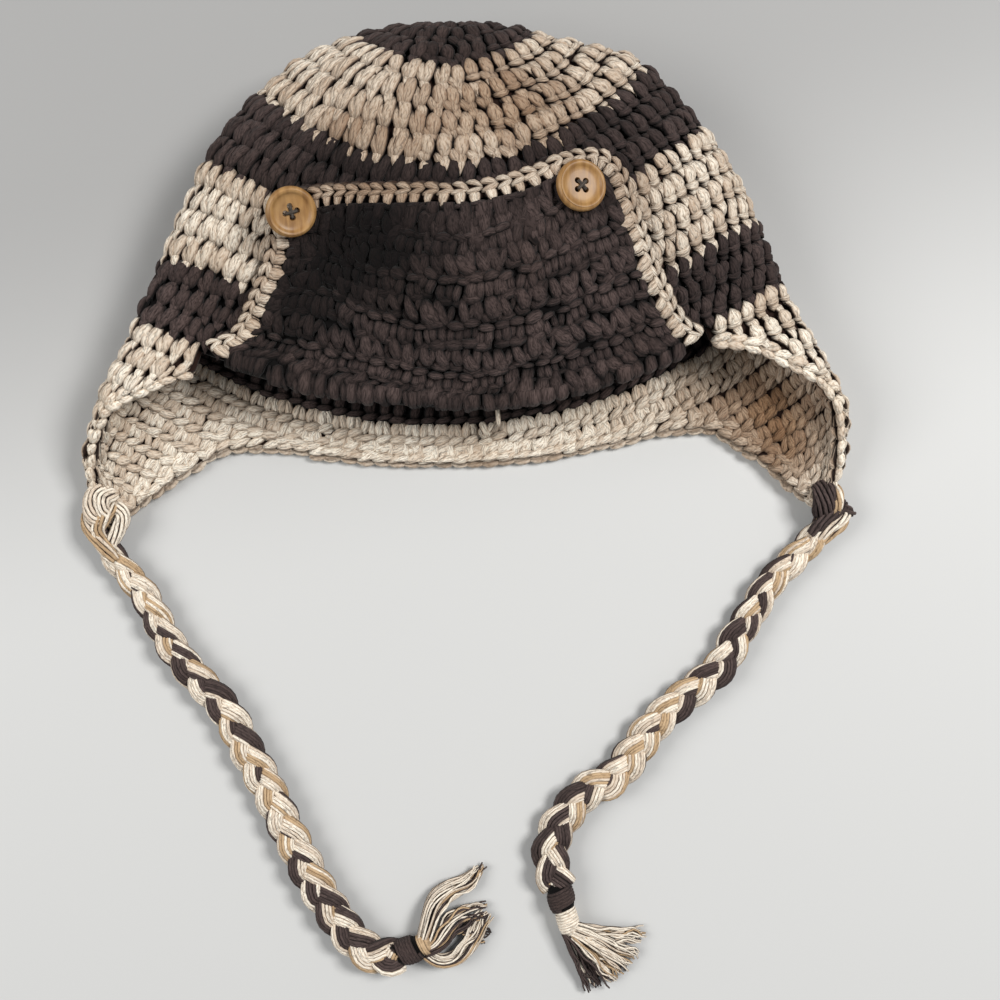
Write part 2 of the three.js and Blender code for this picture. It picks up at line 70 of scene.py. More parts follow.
# Stitches
STITCH_WIDTH = 4.75
ROW_DRIFT = 0.5             # each row's stitches sit this share of a stitch further right
GROWING_END = 60.0          # above this the rows of one stripe grow by several stitches each
STITCH_MIDDLE = 2.0         # height over the cloth's middle at which stitches are spaced
CORE_HALF = 0.8             # half the thickness of the cloth's hidden middle
PRESSED = 1.5               # height below which stitches give way to the floor
PAINTED_GAP_SHADE = 1.0             # painted shade of the hidden middle, as dark as the shaded gaps between stitches
CORE_OVERLAP = 1.0          # how far a stripe's hidden middle runs on under its neighbours
DEPTHS = (1.5, 2.9)         # heights over the cloth's middle between which painted shade on the yarn fades from full to none
TAIL_DEPTHS = (0.4, 1.4)    # the same for the narrow ends of stitches
BACK_DEPTHS = (0.4, 1.7)    # the same for the inside of the rim
CHAIN_DEPTHS = (0.2, 1.5)   # the same for the chains on the inside of the rim
PANEL_DEPTHS = (1.5, 3.0)   # the same for the panel
EDGING_DEPTHS = (0.2, 1.3)  # the same for the panel's edging
BARE_DEPTHS = (-3.0, -2.0)  # the same for yarn that gets no painted shade by height

# Stripes from the crown's middle to the fold: name, start, end, rows, yarn
STRIPES = [
    ("crown_disc_dark", 0.0, 28.0, 4, "dark_yarn"),
    ("crown_band_cream_1", 28.0, 62.0, 4, "cream_yarn"),
    ("crown_band_dark_2", 62.0, 88.0, 3, "dark_yarn"),
    ("crown_band_cream_2", 88.0, 120.0, 4, "cream_yarn"),
    ("crown_band_dark_3", 120.0, 141.0, 3, "dark_yarn"),
]
RIM_ROW = 7.0
RIM_ROWS = 10

# Sections of the lying hat, a row for each ring of the cloth: along, centreX, halfWidth, backY, backZ,
# sideY, sideZ, frontY, frontZ, frontBow, lean
RINGS = np.array([
    [0, -5.0, 0.0, 74.8, 28.0, 74.8, 28.0, 74.8, 28.0, 1.6, 0.0],
    [14, -5.0, 13.9, 72.5, 15.0, 74.2, 28.5, 70.5, 39.5, 1.6, 1.0],
    [28, -5.0, 27.8, 64.0, 5.0, 71.8, 28.0, 58.5, 46.5, 1.6, 2.0],
    [45, -3.0, 43.8, 48.5, 2.3, 66.7, 27.0, 44.0, 51.0, 1.7, 3.0],
    [62, -1.0, 58.2, 31.0, 2.3, 58.0, 26.0, 28.5, 52.5, 1.8, 4.5],
    [88, -0.5, 76.1, 5.0, 2.3, 39.0, 25.0, 7.0, 51.0, 2.4, 6.0],
    [105, 0.0, 84.0, -10.0, 2.3, 24.5, 25.0, -7.0, 47.5, 2.5, 6.0],
    [120, 0.0, 90.0, -24.0, 2.3, 11.0, 24.5, -18.5, 42.0, 2.5, 6.0],
    [141, 0.0, 98.2, -43.5, 2.3, -8.0, 24.0, -36.5, 31.0, 2.2, 6.0],
    [155, 1.2, 105.3, -56.5, 2.3, -21.0, 23.0, -47.0, 36.0, 1.8, 5.3],
    [175, 1.2, 115.5, -75.0, 2.3, -40.0, 19.0, -66.0, 40.0, 1.6, 4.0],
    [195, -1.0, 119.5, -95.0, 2.3, -58.0, 12.0, -88.0, 30.0, 1.6, 3.5],
    [214, -1.0, 118.0, -112.0, 2.3, -73.5, 6.0, -108.0, 12.0, 1.6, 3.0],
    [230, -1.0, 117.0, -126.0, 2.3, -87.0, 3.5, -122.0, 6.0, 1.6, 3.0],
])
BACK_FLAT = 0.8
BACK_BOW = 1.6
FRONT_ROUND = 1.0

# Soft bulges and dents: along, around, halfAlong, halfAround, height
LUMPS = [
    (43, -152, 18, 22, 3.0),
    (48, 172, 18, 22, -2.0),
    (52, 130, 16, 14, -4.0),
    (58, 100, 14, 24, 2.5),
    (105, -138, 34, 26, -4.5),
    (98, -150, 24, 12, -6.0),
    (94, 176, 30, 12, 2.5),
]

# Painted shade on the lying hat, browner and darker where the cloth dents or falls into shade: x, y,
# half width, half height, amount, and 1 for the cloth's outside or -1 for its inside
PAINTED_SHADE_PLACES = [
    (0, 45, 130, 60, 0.22, 1),
    (10, 47, 32, 17, 0.65, 1),
    (-38, 40, 15, 12, 0.4, 1),
    (46, 24, 14, 14, 0.35, 1),
    (-28, 7, 24, 20, 1.0, 1),
    (-52, -10, 14, 16, 0.6, 1),
    (74, 0, 18, 15, 0.4, 1),
    (98, -37, 26, 18, 1.0, -1),
    (104, -55, 14, 10, 0.5, -1),
    (-78, -36, 22, 8, 0.2, -1),
]

# The free edge: around, along
RIM = np.array([
    [0, 155], [20, 156], [35, 158], [45, 163], [51, 173], [57, 184], [64, 196], [72, 206], [79, 211],
    [85, 207], [89, 196], [93, 183], [99, 172], [112, 161], [123, 151], [134, 145],
], float)
FLAP_FRONTS = (-125.5, 130.5)

# Outer border of the turned-up panel, from its left foot over the top to its right foot: along, around
BORDER = np.array([
    [141, -127], [132, -132.5], [119, -135], [107, -135], [96, -133.5], [86, -135], [73, -149],
    [69, -170], [70, 177], [69, 165], [68, 153], [73, 143.5], [82, 140.5], [94, 141], [106, 141],
    [122, 139.5], [134, 136], [141, 132],
])
BORDER_LEFT_CORNER = 5 / 17
BORDER_RIGHT_CORNER = 11 / 17

BUTTONS = {
    "left": {"along": 88, "around": -139, "turn": -30, "lean": 26},
    "right": {"along": 81.5, "around": 153, "turn": 0, "lean": 6},
}

# Middle lines of the ties, from the flap's tip to the wrap
TIES = {
    "left": [(-117, -83.5, 5.4), (-114, -88.5, 5.1), (-106.4, -98.3, 5.1), (-98.3, -112.9, 5.1),
             (-87.9, -126.6, 5.1), (-80.7, -134.7, 5.1), (-72.3, -149.3, 5.1), (-65.1, -161.7, 5.1),
             (-59, -176.3, 5.1), (-51.5, -190.6, 5.1), (-43.4, -202.9, 5.1), (-37, -211.8, 5.1),
             (-31.5, -216.5, 5.1), (-26.8, -217.6, 5.1), (-22.8, -216.2, 5.1)],
    "right": [(116.5, -75.6, 5.6), (111, -82.4, 5.1), (97.7, -95.7, 5.1), (92.1, -105.8, 5.1),
              (87.6, -112.6, 5.1), (83, -121.4, 5.1), (75.2, -128.2, 5.1), (67.4, -134.7, 5.1),
              (60.9, -141.5, 5.1), (54.1, -150.6, 5.1), (47.3, -158.4, 5.1), (38.5, -162.6, 5.1),
              (32.7, -169.5, 5.1), (27.8, -178.6, 5.1), (27, -186.5, 5.1), (29, -194, 5.1)],
}

# Camera, found from the photograph
CAMERA_AT = (10.25, -68.4, 450.0)
SENSOR = 36.0
FOCAL_SHARE = 1.368         # focal length as a share of the picture's width

# Surroundings, in metres
FLOOR_HALF = 3.0
LIGHTS_AIM = (0.0, -0.10, 0.0)
# Square lights: name, place, width, watts, colour
LIGHTS = [
    ("window", (0.85, 0.30, 1.20), 0.50, 20.0, (1.0, 0.985, 0.965)),
    ("wall", (-0.95, 0.0, 0.95), 0.8, 10.0, (1.0, 0.985, 0.96)),
]


# The cloth's surface

def smooth(x, xs, ys):
    """Monotone cubic curve through (xs, ys)."""
    x = np.clip(np.asarray(x, float), xs[0], xs[-1])
    step = np.diff(xs)
    rise = np.diff(ys) / step
    slope = np.zeros(len(ys))
    slope[0], slope[-1] = rise[0], rise[-1]
    for k in range(1, len(ys) - 1):
        if rise[k - 1] * rise[k] > 0:
            before = 2 * step[k] + step[k - 1]
            after = step[k] + 2 * step[k - 1]
            slope[k] = (before + after) / (before / rise[k - 1] + after / rise[k])
    i = np.clip(np.searchsorted(xs, x, side="right") - 1, 0, len(step) - 1)
    t = (x - xs[i]) / step[i]
    return ((1 + 2 * t) * (1 - t) ** 2 * ys[i] + t * (1 - t) ** 2 * step[i] * slope[i]
            + t * t * (3 - 2 * t) * ys[i + 1] + t * t * (t - 1) * step[i] * slope[i + 1])


def unit(vectors):
    return vectors / (np.linalg.norm(vectors, axis=-1, keepdims=True) + 1e-12)


def rim_along(around):
    return smooth(np.abs(around), RIM[:, 0], RIM[:, 1])


def plain_cloth(along, around):
    """Middle of the cloth without bulges and dents."""
    angle = np.radians(around)
    s = along - smooth(along, RINGS[:, 0], RINGS[:, 10]) * np.sin(angle)
    centre, half, back_y, back_z, side_y, side_z, front_y, front_z, bow = [
        smooth(s, RINGS[:, 0], RINGS[:, k]) for k in range(1, 10)]
    c = np.cos(angle)
    reach = np.abs(c)
    back_rise = 1 - (np.maximum(BACK_FLAT - reach, 0) / BACK_FLAT) ** 2
    front_rise = 1 - (1 - reach) ** FRONT_ROUND
    y = np.where(c > 0, side_y + (back_y - side_y) * reach ** BACK_BOW,
                 side_y + (front_y - side_y) * reach ** bow)
    z = np.where(c > 0, side_z + (back_z - side_z) * back_rise, side_z + (front_z - side_z) * front_rise)
    return np.stack([centre + half * np.sin(angle), y, z], -1)


def outward_normal(surface, along, around):
    reach = 0.5
    down = surface(along + reach, around) - surface(np.maximum(along - reach, 0.05), around)
    side = surface(along, around + reach) - surface(along, around - reach)
    return unit(np.cross(side, down))


def cloth(along, around):
    """Middle of the cloth, with its bulges and dents."""
    height = 0
    for at, turned, half_along, half_around, lift in LUMPS:
        turn = (around - turned + 180) % 360 - 180
        height = height + lift * np.exp(-((along - at) / half_along) ** 2 - (turn / half_around) ** 2)
    return plain_cloth(along, around) + outward_normal(plain_cloth, along, around) * height[..., None]


class Sheet:
    """A curved surface kept as a table over (down, across), with its outward direction.

    rightward is +1 where across grows to the right as seen from outside, and -1 where it grows to the left.
    """

    def __init__(self, downs, acrosses, place, rightward):
        self.downs = downs
        self.acrosses = acrosses
        self.rightward = rightward
        grid = np.meshgrid(downs, acrosses, indexing="ij")
        self.middle = place(*grid, np.zeros(grid[0].shape))
        self.out = place(*grid, np.ones(grid[0].shape)) - self.middle
        self.per_down = np.linalg.norm(np.gradient(self.middle, downs, axis=0), axis=-1)
        raised = self.middle + self.out * STITCH_MIDDLE
        self.per_across = np.linalg.norm(np.gradient(raised, acrosses, axis=1), axis=-1)

    def look(self, table, down, across):
        """A table's value between its rows and columns."""
        down, across = np.broadcast_arrays(down, across)
        row = np.clip((down - self.downs[0]) / (self.downs[1] - self.downs[0]), 0, len(self.downs) - 1.001)
        step = self.acrosses[1] - self.acrosses[0]
        column = np.clip((across - self.acrosses[0]) / step, 0, len(self.acrosses) - 1.001)
        i, j = row.astype(int), column.astype(int)
        f, g = row - i, column - j
        if table.ndim == 3:
            f, g = f[..., None], g[..., None]
        return ((1 - f) * ((1 - g) * table[i, j] + g * table[i, j + 1])
                + f * ((1 - g) * table[i + 1, j] + g * table[i + 1, j + 1]))

    def at(self, down, across, outward):
        outward = np.asarray(outward, float)
        return self.look(self.middle, down, across) + self.look(self.out, down, across) * outward[..., None]

    def scale(self, down, across):
        """Millimetres for each unit of down and of across."""
        return self.look(self.per_down, down, across), self.look(self.per_across, down, across)

    def even_places(self, down, start, end, width, shift=0.0, closed=False, count=None):
        """Acrosses about one width apart along a row, or as many as given, and their true spacing."""
        fine = np.linspace(start, end, 721)
        speed = self.look(self.per_across, down, fine)
        run = np.concatenate([[0], np.cumsum((speed[1:] + speed[:-1]) / 2 * np.diff(fine))])
        count = count or max(int(round(run[-1] / width)), 1)
        spacing = run[-1] / count
        marks = (np.arange(count) + 0.5 + shift) * spacing
        if closed:
            marks = marks % run[-1]
        return np.interp(np.clip(marks, 0, run[-1]), run, fine), spacing


def cloth_place(along, around, outward):
    middle = cloth(along, around)
    return middle + outward_normal(cloth, along, around) * outward[..., None]


cloth_sheet = Sheet(np.arange(0.3, 229, 1.0), np.arange(-204, 204.1, 1.5), cloth_place, -1)


# Curves

def curve_at(points, t):
    """Centripetal Catmull-Rom curve through the points, for t from 0 to 1."""
    points = np.asarray(points, float)
    last = len(points) - 1
    place = np.clip(np.asarray(t, float), 0, 1) * last
    i = np.minimum(place.astype(int), last - 1)
    w = (place - i)[..., None]
    padded = np.concatenate([[2 * points[0] - points[1]], points, [2 * points[-1] - points[-2]]])
    a, b, c, d = padded[i], padded[i + 1], padded[i + 2], padded[i + 3]
    first, middle, after = [np.linalg.norm(q - p, axis=-1, keepdims=True) ** 0.5
                            for p, q in ((a, b), (b, c), (c, d))]
    leave = ((b - a) / first - (c - a) / (first + middle) + (c - b) / middle) * middle
    arrive = ((c - b) / middle - (d - b) / (middle + after) + (d - c) / after) * middle
    return (b + leave * w + (3 * (c - b) - 2 * leave - arrive) * w ** 2
            + (2 * (b - c) + leave + arrive) * w ** 3)


def by_length(points, count):
    """The same line with its points evenly spaced."""
    run = np.concatenate([[0], np.cumsum(np.linalg.norm(np.diff(points, axis=0), axis=1))])
    marks = np.linspace(0, run[-1], count)
    return np.stack([np.interp(marks, run, points[:, k]) for k in range(points.shape[1])], -1)


def line_length(points):
    return float(np.linalg.norm(np.diff(points, axis=0), axis=1).sum())


def bent(root, bend, tip, t):
    """Quadratic curve from root to tip."""
    t = t[..., None]
    return (1 - t) ** 2 * root + 2 * t * (1 - t) * bend + t * t * tip


def moved_in(curve, scale, t, inward):
    """Place (along, around) of a curve on the cloth, moved to its left side by a distance.

    scale gives the millimetres for each unit of along and of around.
    """
    reach = 0.004
    here = curve(t)
    run = curve(np.minimum(t + reach, 1)) - curve(np.maximum(t - reach, 0))
    along, around = here[..., 0], here[..., 1]
    per_along, per_around = scale(along, around)
    run = unit(np.stack([run[..., 0] * per_along, run[..., 1] * per_around], -1))
    return along - run[..., 1] * inward / per_along, around + run[..., 0] * inward / per_around


# Front angles that run on without a jump: the front's middle is at 180, the left side beyond it
FRONT_BORDER = BORDER.copy()
FRONT_BORDER[:, 1] = np.where(BORDER[:, 1] < 0, BORDER[:, 1] + 180, BORDER[:, 1] - 180)


def border_curve(t):
    return curve_at(FRONT_BORDER, t)


def front_point(along, from_middle, outward):
    around = from_middle + 180
    around = np.where(around > 200, around - 360, around)
    return cloth_sheet.at(along, around, outward)


def front_scale(along, turned):
    """Millimetres for each unit of along and of the angle from the front's middle."""
    return [np.linalg.norm(front_point(along + a, turned + b, 0) - front_point(along - a, turned - b, 0),
                           axis=-1) / 2 for a, b in ((1, 0), (0, 1))]


def border_place(t, inward):
    """Border of the panel, moved inward, as (along, angle from the front's middle)."""
    return moved_in(border_curve, front_scale, t, inward)


def foot_of(end, inward):
    """Where the border, moved in, crosses the fold."""
    low = end
    high = BORDER_LEFT_CORNER if end == 0 else BORDER_RIGHT_CORNER
    for _ in range(20):
        middle = (low + high) / 2
        if border_place(np.array([middle]), inward)[0][0] > FOLD:
            low = middle
        else:
            high = middle
    return high


PANEL_INWARD = EDGING_WIDTH + EDGING_CLEARANCE
PANEL_FEET = (foot_of(0.0, PANEL_INWARD), foot_of(1.0, PANEL_INWARD))
PANEL_HEIGHT = 69.0
FOLD_ARC = math.pi * PANEL_LIFT / 2


def panel_flat(u, v):
    """Place on the panel: u runs from its left to its right border, v from the fold to its top."""
    def border(start, end, t):
        return np.stack(border_place(start + (end - start) * t, PANEL_INWARD), -1)
    none = np.zeros(u.shape)
    u, v = u[..., None], v[..., None]
    left = border(PANEL_FEET[0], BORDER_LEFT_CORNER, v[..., 0])
    right = border(PANEL_FEET[1], BORDER_RIGHT_CORNER, v[..., 0])
    top = border(BORDER_LEFT_CORNER, BORDER_RIGHT_CORNER, u[..., 0])
    feet = [border(foot, 0, none) for foot in PANEL_FEET]
    corners = [border(corner, 0, none) for corner in (BORDER_LEFT_CORNER, BORDER_RIGHT_CORNER)]
    bottom = feet[0] * (1 - u) + feet[1] * u
    flat = bottom * (1 - v) + (corners[0] * (1 - u) + corners[1] * u) * v
    return left * (1 - u) + right * u + bottom * (1 - v) + top * v - flat


def fold_point(turned, turn, outward):
    """The panel's fold: turn 0 faces the cloth's edge, turn 180 lies over the cloth."""
    edge = front_point(FOLD, turned, 0)
    normal = front_point(FOLD, turned, 1) - edge
    down = unit(edge - front_point(FOLD - 1, turned, 0))
    angle = np.radians(turn)
    far = PANEL_LIFT / 2 + outward
    forward = FOLD_GAP + np.sin(angle) * far
    return (front_point(FOLD, turned, PANEL_LIFT / 2) + down * forward[..., None]
            - normal * (np.cos(angle) * far)[..., None])


def panel_point(down, u, outward):
    """Place on the panel, measured down from its top edge and on round the fold."""
    flat = panel_flat(u, np.clip(1 - down / PANEL_HEIGHT, 0, 1))
    over = front_point(flat[..., 0], flat[..., 1], PANEL_LIFT + outward)
    turn = 180 - np.clip((down - PANEL_HEIGHT) / FOLD_ARC, 0, 1) * 180
    folded = fold_point(flat[..., 1], turn, outward)
    return np.where((down > PANEL_HEIGHT)[..., None], folded, over)


panel_sheet = Sheet(np.arange(0, PANEL_HEIGHT + FOLD_ARC + 0.5, 0.75), np.linspace(0, 1, 81),
                    panel_point, 1)


def edging_point(inward, t, outward):
    along, turned = border_place(t, inward)
    return front_point(along, turned, PANEL_LIFT + outward)


edging_sheet = Sheet(np.arange(-2.0, 8.1, 1.0), np.linspace(0, 1, 241), edging_point, 1)


def rim_curve(t):
    around = FLAP_FRONTS[0] + (FLAP_FRONTS[1] - FLAP_FRONTS[0]) * t
    return np.stack([rim_along(around), around], -1)


def rim_point(inward, t, outward):
    along, around = moved_in(rim_curve, cloth_sheet.scale, t, inward)
    return cloth_sheet.at(along, around, outward)


rim_sheet = Sheet(np.arange(-2.0, 8.1, 1.0), np.linspace(0, 1, 401), rim_point, 1)


# Meshes

def grid_quads(rows, columns, width):
    """Quads of a grid with width points in a row, where the last column may run on to the first."""
    i, j = np.meshgrid(np.arange(rows), np.arange(columns), indexing="ij")
    here, beside = i * width + j, i * width + (j + 1) % width
    return np.stack([here, beside, beside + width, here + width], -1).reshape(-1, 4)


def tubes(paths, half_widths, half_thicknesses, ups, sides):
    """Closed tubes along many paths at once, flat where the two half sizes differ.

    Gives points (tube, point, 3), quads and triangles of point numbers in a tube, and their corners' uv:
    u runs once round, from underneath, and v is the distance along in millimetres.
    """
    count, rings = paths.shape[:2]
    run = unit(np.gradient(paths, axis=1))
    side = unit(np.cross(run, ups))
    up = np.cross(side, run)
    angle = 2 * np.pi * np.arange(sides) / sides - np.pi / 2
    across = np.cos(angle)[:, None] * side[:, :, None] * half_widths[:, :, None, None]
    rise = np.sin(angle)[:, None] * up[:, :, None] * half_thicknesses[:, :, None, None]
    body = (paths[:, :, None] + across + rise).reshape(count, rings * sides, 3)
    reach = 0.45 * np.minimum(half_widths, half_thicknesses)[:, [0, -1], None]
    ends = paths[:, [0, -1]] + run[:, [0, -1]] * np.array([-1, 1])[:, None] * reach
    points = np.concatenate([body, ends], axis=1)
    far = np.linalg.norm(np.diff(paths, axis=1), axis=-1)
    far = np.concatenate([np.zeros((count, 1)), np.cumsum(far, axis=1)], axis=1)
    quads = grid_quads(rings - 1, sides, sides)
    quad_u = (quads[:, :1] % sides + [0, 1, 1, 0]) / sides
    quad_v = far[:, quads // sides]
    j = np.arange(sides)
    following = (j + 1) % sides
    last, tip = (rings - 1) * sides, np.full(sides, rings * sides)
    caps = np.concatenate([np.stack([following, j, tip], -1),
                           np.stack([last + j, last + following, tip + 1], -1)])
    cap_u = np.concatenate([np.stack([j + 1, j, j + 0.5], -1), np.stack([j, j + 1, j + 0.5], -1)]) / sides
    cap_v = np.repeat(np.repeat(far[:, [0, -1], None], sides, 1), 3, 2)
    quad_uv = np.stack([np.broadcast_to(quad_u, quad_v.shape), quad_v], -1)
    cap_uv = np.stack([np.broadcast_to(cap_u, cap_v.shape), cap_v], -1)
    return points, quads, caps, quad_uv, cap_uv


def pressed(heights):
    """Heights of stitches over the floor: those that would sink into it are pressed flat above it."""
    return np.where(heights < PRESSED, PRESSED * np.exp(np.minimum(heights / PRESSED - 1, 0)), heights)


def signed_volume(points, triangles):
    a, b, c = (points[triangles[:, k]] for k in range(3))
    return float(np.einsum("ij,ij->i", a, np.cross(b, c)).sum())


class Piece:
    """Parts of one visible piece, joined into one mesh."""

    def __init__(self, node, parts, finish):
        self.node = node
        self.name = f"{node}_{parts}"
        self.finish = finish
        self.points, self.corners, self.sizes, self.uvs = [], [], [], []
        self.values = {"tone": [], "dye_and_shade": [], "painted_shade": []}
        self.used = 0

    def add(self, points, faces, uvs, tones, dye_and_shades, painted_shades=0.0):
        """faces and uvs are lists of arrays: one for quads and one for triangles, or either."""
        for face, uv in zip(faces, uvs):
            self.corners.append(face.ravel() + self.used)
            self.sizes.append(np.full(len(face), face.shape[1]))
            self.uvs.append(uv.reshape(-1, 2))
        self.points.append(points)
        for kept, values in zip(self.values.values(), (tones, dye_and_shades, painted_shades)):
            kept.append(np.broadcast_to(values, len(points)))
        self.used += len(points)

    def add_tubes(self, paths, wide, thick, sides, tones, dye_and_shades=0.0, painted_shades=0.0, ups=UP, warp=None, lit=1.0,
                  depths=None):
        """One tube or many, with their half widths and half thicknesses.

        warp moves their points from a stitch's own measures to their place. lit below 1 keeps the painted
        shade of the yarn's sides off tubes that are seen from all round. Between the two depths, where
        given, the painted shade of the gaps falls from full to none.
        """
        paths = paths.reshape(-1, *paths.shape[-2:])
        wide, thick = (np.broadcast_to(half, paths.shape[:2]) for half in (wide, thick))
        points, quads, caps, quad_uv, cap_uv = tubes(paths, wide, thick, ups, sides)
        quad_uv[..., 0] = 0.5 + (quad_uv[..., 0] - 0.5) * lit
        cap_uv[..., 0] = 0.5 + (cap_uv[..., 0] - 0.5) * lit
        # Painted shade: yarn low over the cloth's middle darkens towards the shade colour
        if depths is not None:
            low, high = depths
            dye_and_shades = 1 - smooth(points[..., 2], np.array([low, high]), np.array([0.0, 1.0]))
        if warp is not None:
            points = warp(points)
            points[..., 2] = pressed(points[..., 2])
        count, each = points.shape[:2]
        flat = points.reshape(-1, 3)
        start = (np.arange(count) * each)[:, None, None]
        quads = (quads + start).reshape(-1, 4)
        caps = (caps + start).reshape(-1, 3)
        if signed_volume(flat, np.concatenate([quads[:, :3], quads[:, [0, 2, 3]], caps])) < 0:
            quads, quad_uv = quads[:, ::-1], quad_uv[..., ::-1, :]
            caps, cap_uv = caps[:, ::-1], cap_uv[..., ::-1, :]
        tones = np.repeat(np.broadcast_to(tones, count), each)
        dye_and_shades = dye_and_shades.ravel() if np.ndim(dye_and_shades) == 2 else np.repeat(np.broadcast_to(dye_and_shades, count), each)
        painted_shades = np.repeat(np.broadcast_to(painted_shades, count), each)
        self.add(flat, [quads, caps], [quad_uv, cap_uv], tones, dye_and_shades, painted_shades)

    def add_slab(self, sheet, downs, acrosses, half, closed):
        """The hidden middle of a cloth: a thin closed body between two sides of a sheet, coloured with
        painted shade.
        """
        rows, columns = downs.shape[0] - 1, acrosses.shape[-1] - 1
        down, across = np.broadcast_arrays(downs, acrosses)
        width = columns if closed else columns + 1
        sides = [sheet.at(down, across, side * half)[:, :width] for side in (1, -1)]
        points = np.concatenate([side.reshape(-1, 3) for side in sides])
        each = (rows + 1) * width

        def wall(here, following):
            return np.stack([here, following, following + each, here + each], -1)

        top = grid_quads(rows, columns, width)
        first = np.arange(columns)
        following = (first + 1) % width
        last = rows * width
        quads = [top, top[:, ::-1] + each, wall(first, following)[:, ::-1],
                 wall(last + first, last + following)]
        if not closed:
            left = np.arange(rows) * width
            right = left + columns
            quads += [wall(left, left + width), wall(right, right + width)[:, ::-1]]
        quads = np.concatenate(quads)
        if signed_volume(points, np.concatenate([quads[:, :3], quads[:, [0, 2, 3]]])) < 0:
            quads = quads[:, ::-1]
        flat_uv = np.zeros((len(quads), 4, 2))
        # Painted shade: the hidden middle is as dark as the gaps between the stitches
        self.add(points, [quads], [flat_uv], 0.5, PAINTED_GAP_SHADE)

    def build(self):
        """Makes the Blender object, which rides on the hat and stands for its node."""
        points = np.concatenate(self.points) * MM
        corners = np.concatenate(self.corners)
        sizes = np.concatenate(self.sizes)
        mesh = bpy.data.meshes.new(self.name)
        mesh.vertices.add(len(points))
        mesh.vertices.foreach_set("co", points.astype(np.float32).ravel())
        mesh.loops.add(len(corners))
        mesh.loops.foreach_set("vertex_index", corners.astype(np.int32))
        mesh.polygons.add(len(sizes))
        starts = np.concatenate([[0], np.cumsum(sizes)[:-1]])
        mesh.polygons.foreach_set("loop_start", starts.astype(np.int32))
        mesh.polygons.foreach_set("use_smooth", np.ones(len(sizes), bool))
        layer = mesh.uv_layers.new(name="yarn")
        layer.data.foreach_set("uv", np.concatenate(self.uvs).astype(np.float32).ravel())
        for name, values in self.values.items():
            attribute = mesh.attributes.new(name, "FLOAT", "POINT")
            attribute.data.foreach_set("value", np.concatenate(values).astype(np.float32))
        mesh.update(calc_edges=True)
        mesh.validate()
        return placed(mesh, self.finish, self.node)


def linked(name, data):
    """A new object in the scene."""
    made = bpy.data.objects.new(name, data)
    bpy.context.scene.collection.objects.link(made)
    return made


def placed(mesh, finish, node):
    """A piece with its finish, which rides on the hat and stands for a node of the CAD."""
    piece = linked(mesh.name, mesh)
    mesh.materials.clear()
    mesh.materials.append(FINISHES[finish])
    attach(piece, "root")
    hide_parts(node)
    return piece


# Finishes

class Value:
    """A shader socket that takes part in arithmetic."""

    def __init__(self, finish, socket):
        self.finish = finish
        self.socket = socket

    def math(self, operation, *others):
        return self.finish.node("ShaderNodeMath", {"operation": operation}, self, *others)

    def __add__(self, other):
        return self.math("ADD", other)

    def __mul__(self, other):
        return self.math("MULTIPLY", other)

    def __sub__(self, other):
        return self.math("SUBTRACT", other)

    def __rsub__(self, other):
        return self.finish.node("ShaderNodeMath", {"operation": "SUBTRACT"}, other, self)

    __radd__ = __add__
    __rmul__ = __mul__

    def between(self, low, high):
        """0 below low, 1 above high and smooth between them."""
        settings = {"interpolation_type": "SMOOTHSTEP"}
        return self.finish.node("ShaderNodeMapRange", settings, self, low, high)


class Finish:
    """A material made from expressions on Value."""

    def __init__(self, name):
        self.material = bpy.data.materials.new(name)
        self.material.use_nodes = True
        self.tree = self.material.node_tree
        self.shader = next(n for n in self.tree.nodes if n.type == "BSDF_PRINCIPLED")

    def node(self, kind, settings, *inputs, output=0, **named):
        """Adds a node: its settings first, then the values or links of its sockets."""
        made = self.tree.nodes.new(kind)
        for key, value in settings.items():
            setattr(made, key, value)
        pairs = list(zip(made.inputs, inputs))
        pairs += [(made.inputs[key.replace("_", " ")], value) for key, value in named.items()]
        for socket, value in pairs:
            self.feed(socket, value)
        return Value(self, made.outputs[output])

    def feed(self, socket, value):
        if isinstance(value, Value):
            self.tree.links.new(value.socket, socket)
        elif value is not None:
            socket.default_value = value

    def attribute(self, name):
        return self.node("ShaderNodeAttribute", {"attribute_name": name}, output="Fac")

    def place(self):
        return self.node("ShaderNodeTexCoord", {}, output="Object")

    def split(self, vector):
        """The first two parts of a vector."""
        first = self.node("ShaderNodeSeparateXYZ", {}, vector)
        return first, Value(self, first.socket.node.outputs[1])

    def vector(self, x, y, z=0.0):
        return self.node("ShaderNodeCombineXYZ", {}, x, y, z)

    def noise(self, vector, scale, detail=2.0):
        return self.node("ShaderNodeTexNoise", {}, Vector=vector, Scale=scale, Detail=detail, output="Fac")

    def mix(self, factor, first, second, blend="MIX"):
        made = self.tree.nodes.new("ShaderNodeMix")
        made.data_type = "RGBA"
        made.blend_type = blend
        for socket, value in ((made.inputs[0], factor), (made.inputs[6], first), (made.inputs[7], second)):
            self.feed(socket, value)
        return Value(self, made.outputs[2])

    def bump(self, height, distance, strength=1.0):
        made = self.node("ShaderNodeBump", {}, Strength=strength, Distance=distance, Height=height,
                         output="Normal")
        self.feed(self.shader.inputs["Normal"], made)

    def surface(self, colour, roughness, **constants):
        self.feed(self.shader.inputs["Base Color"], colour)
        self.feed(self.shader.inputs["Roughness"], roughness)
        for key, value in constants.items():
            self.shader.inputs[key.replace("_", " ")].default_value = value


PLIES = 8                   # lines that show round one thickness of yarn


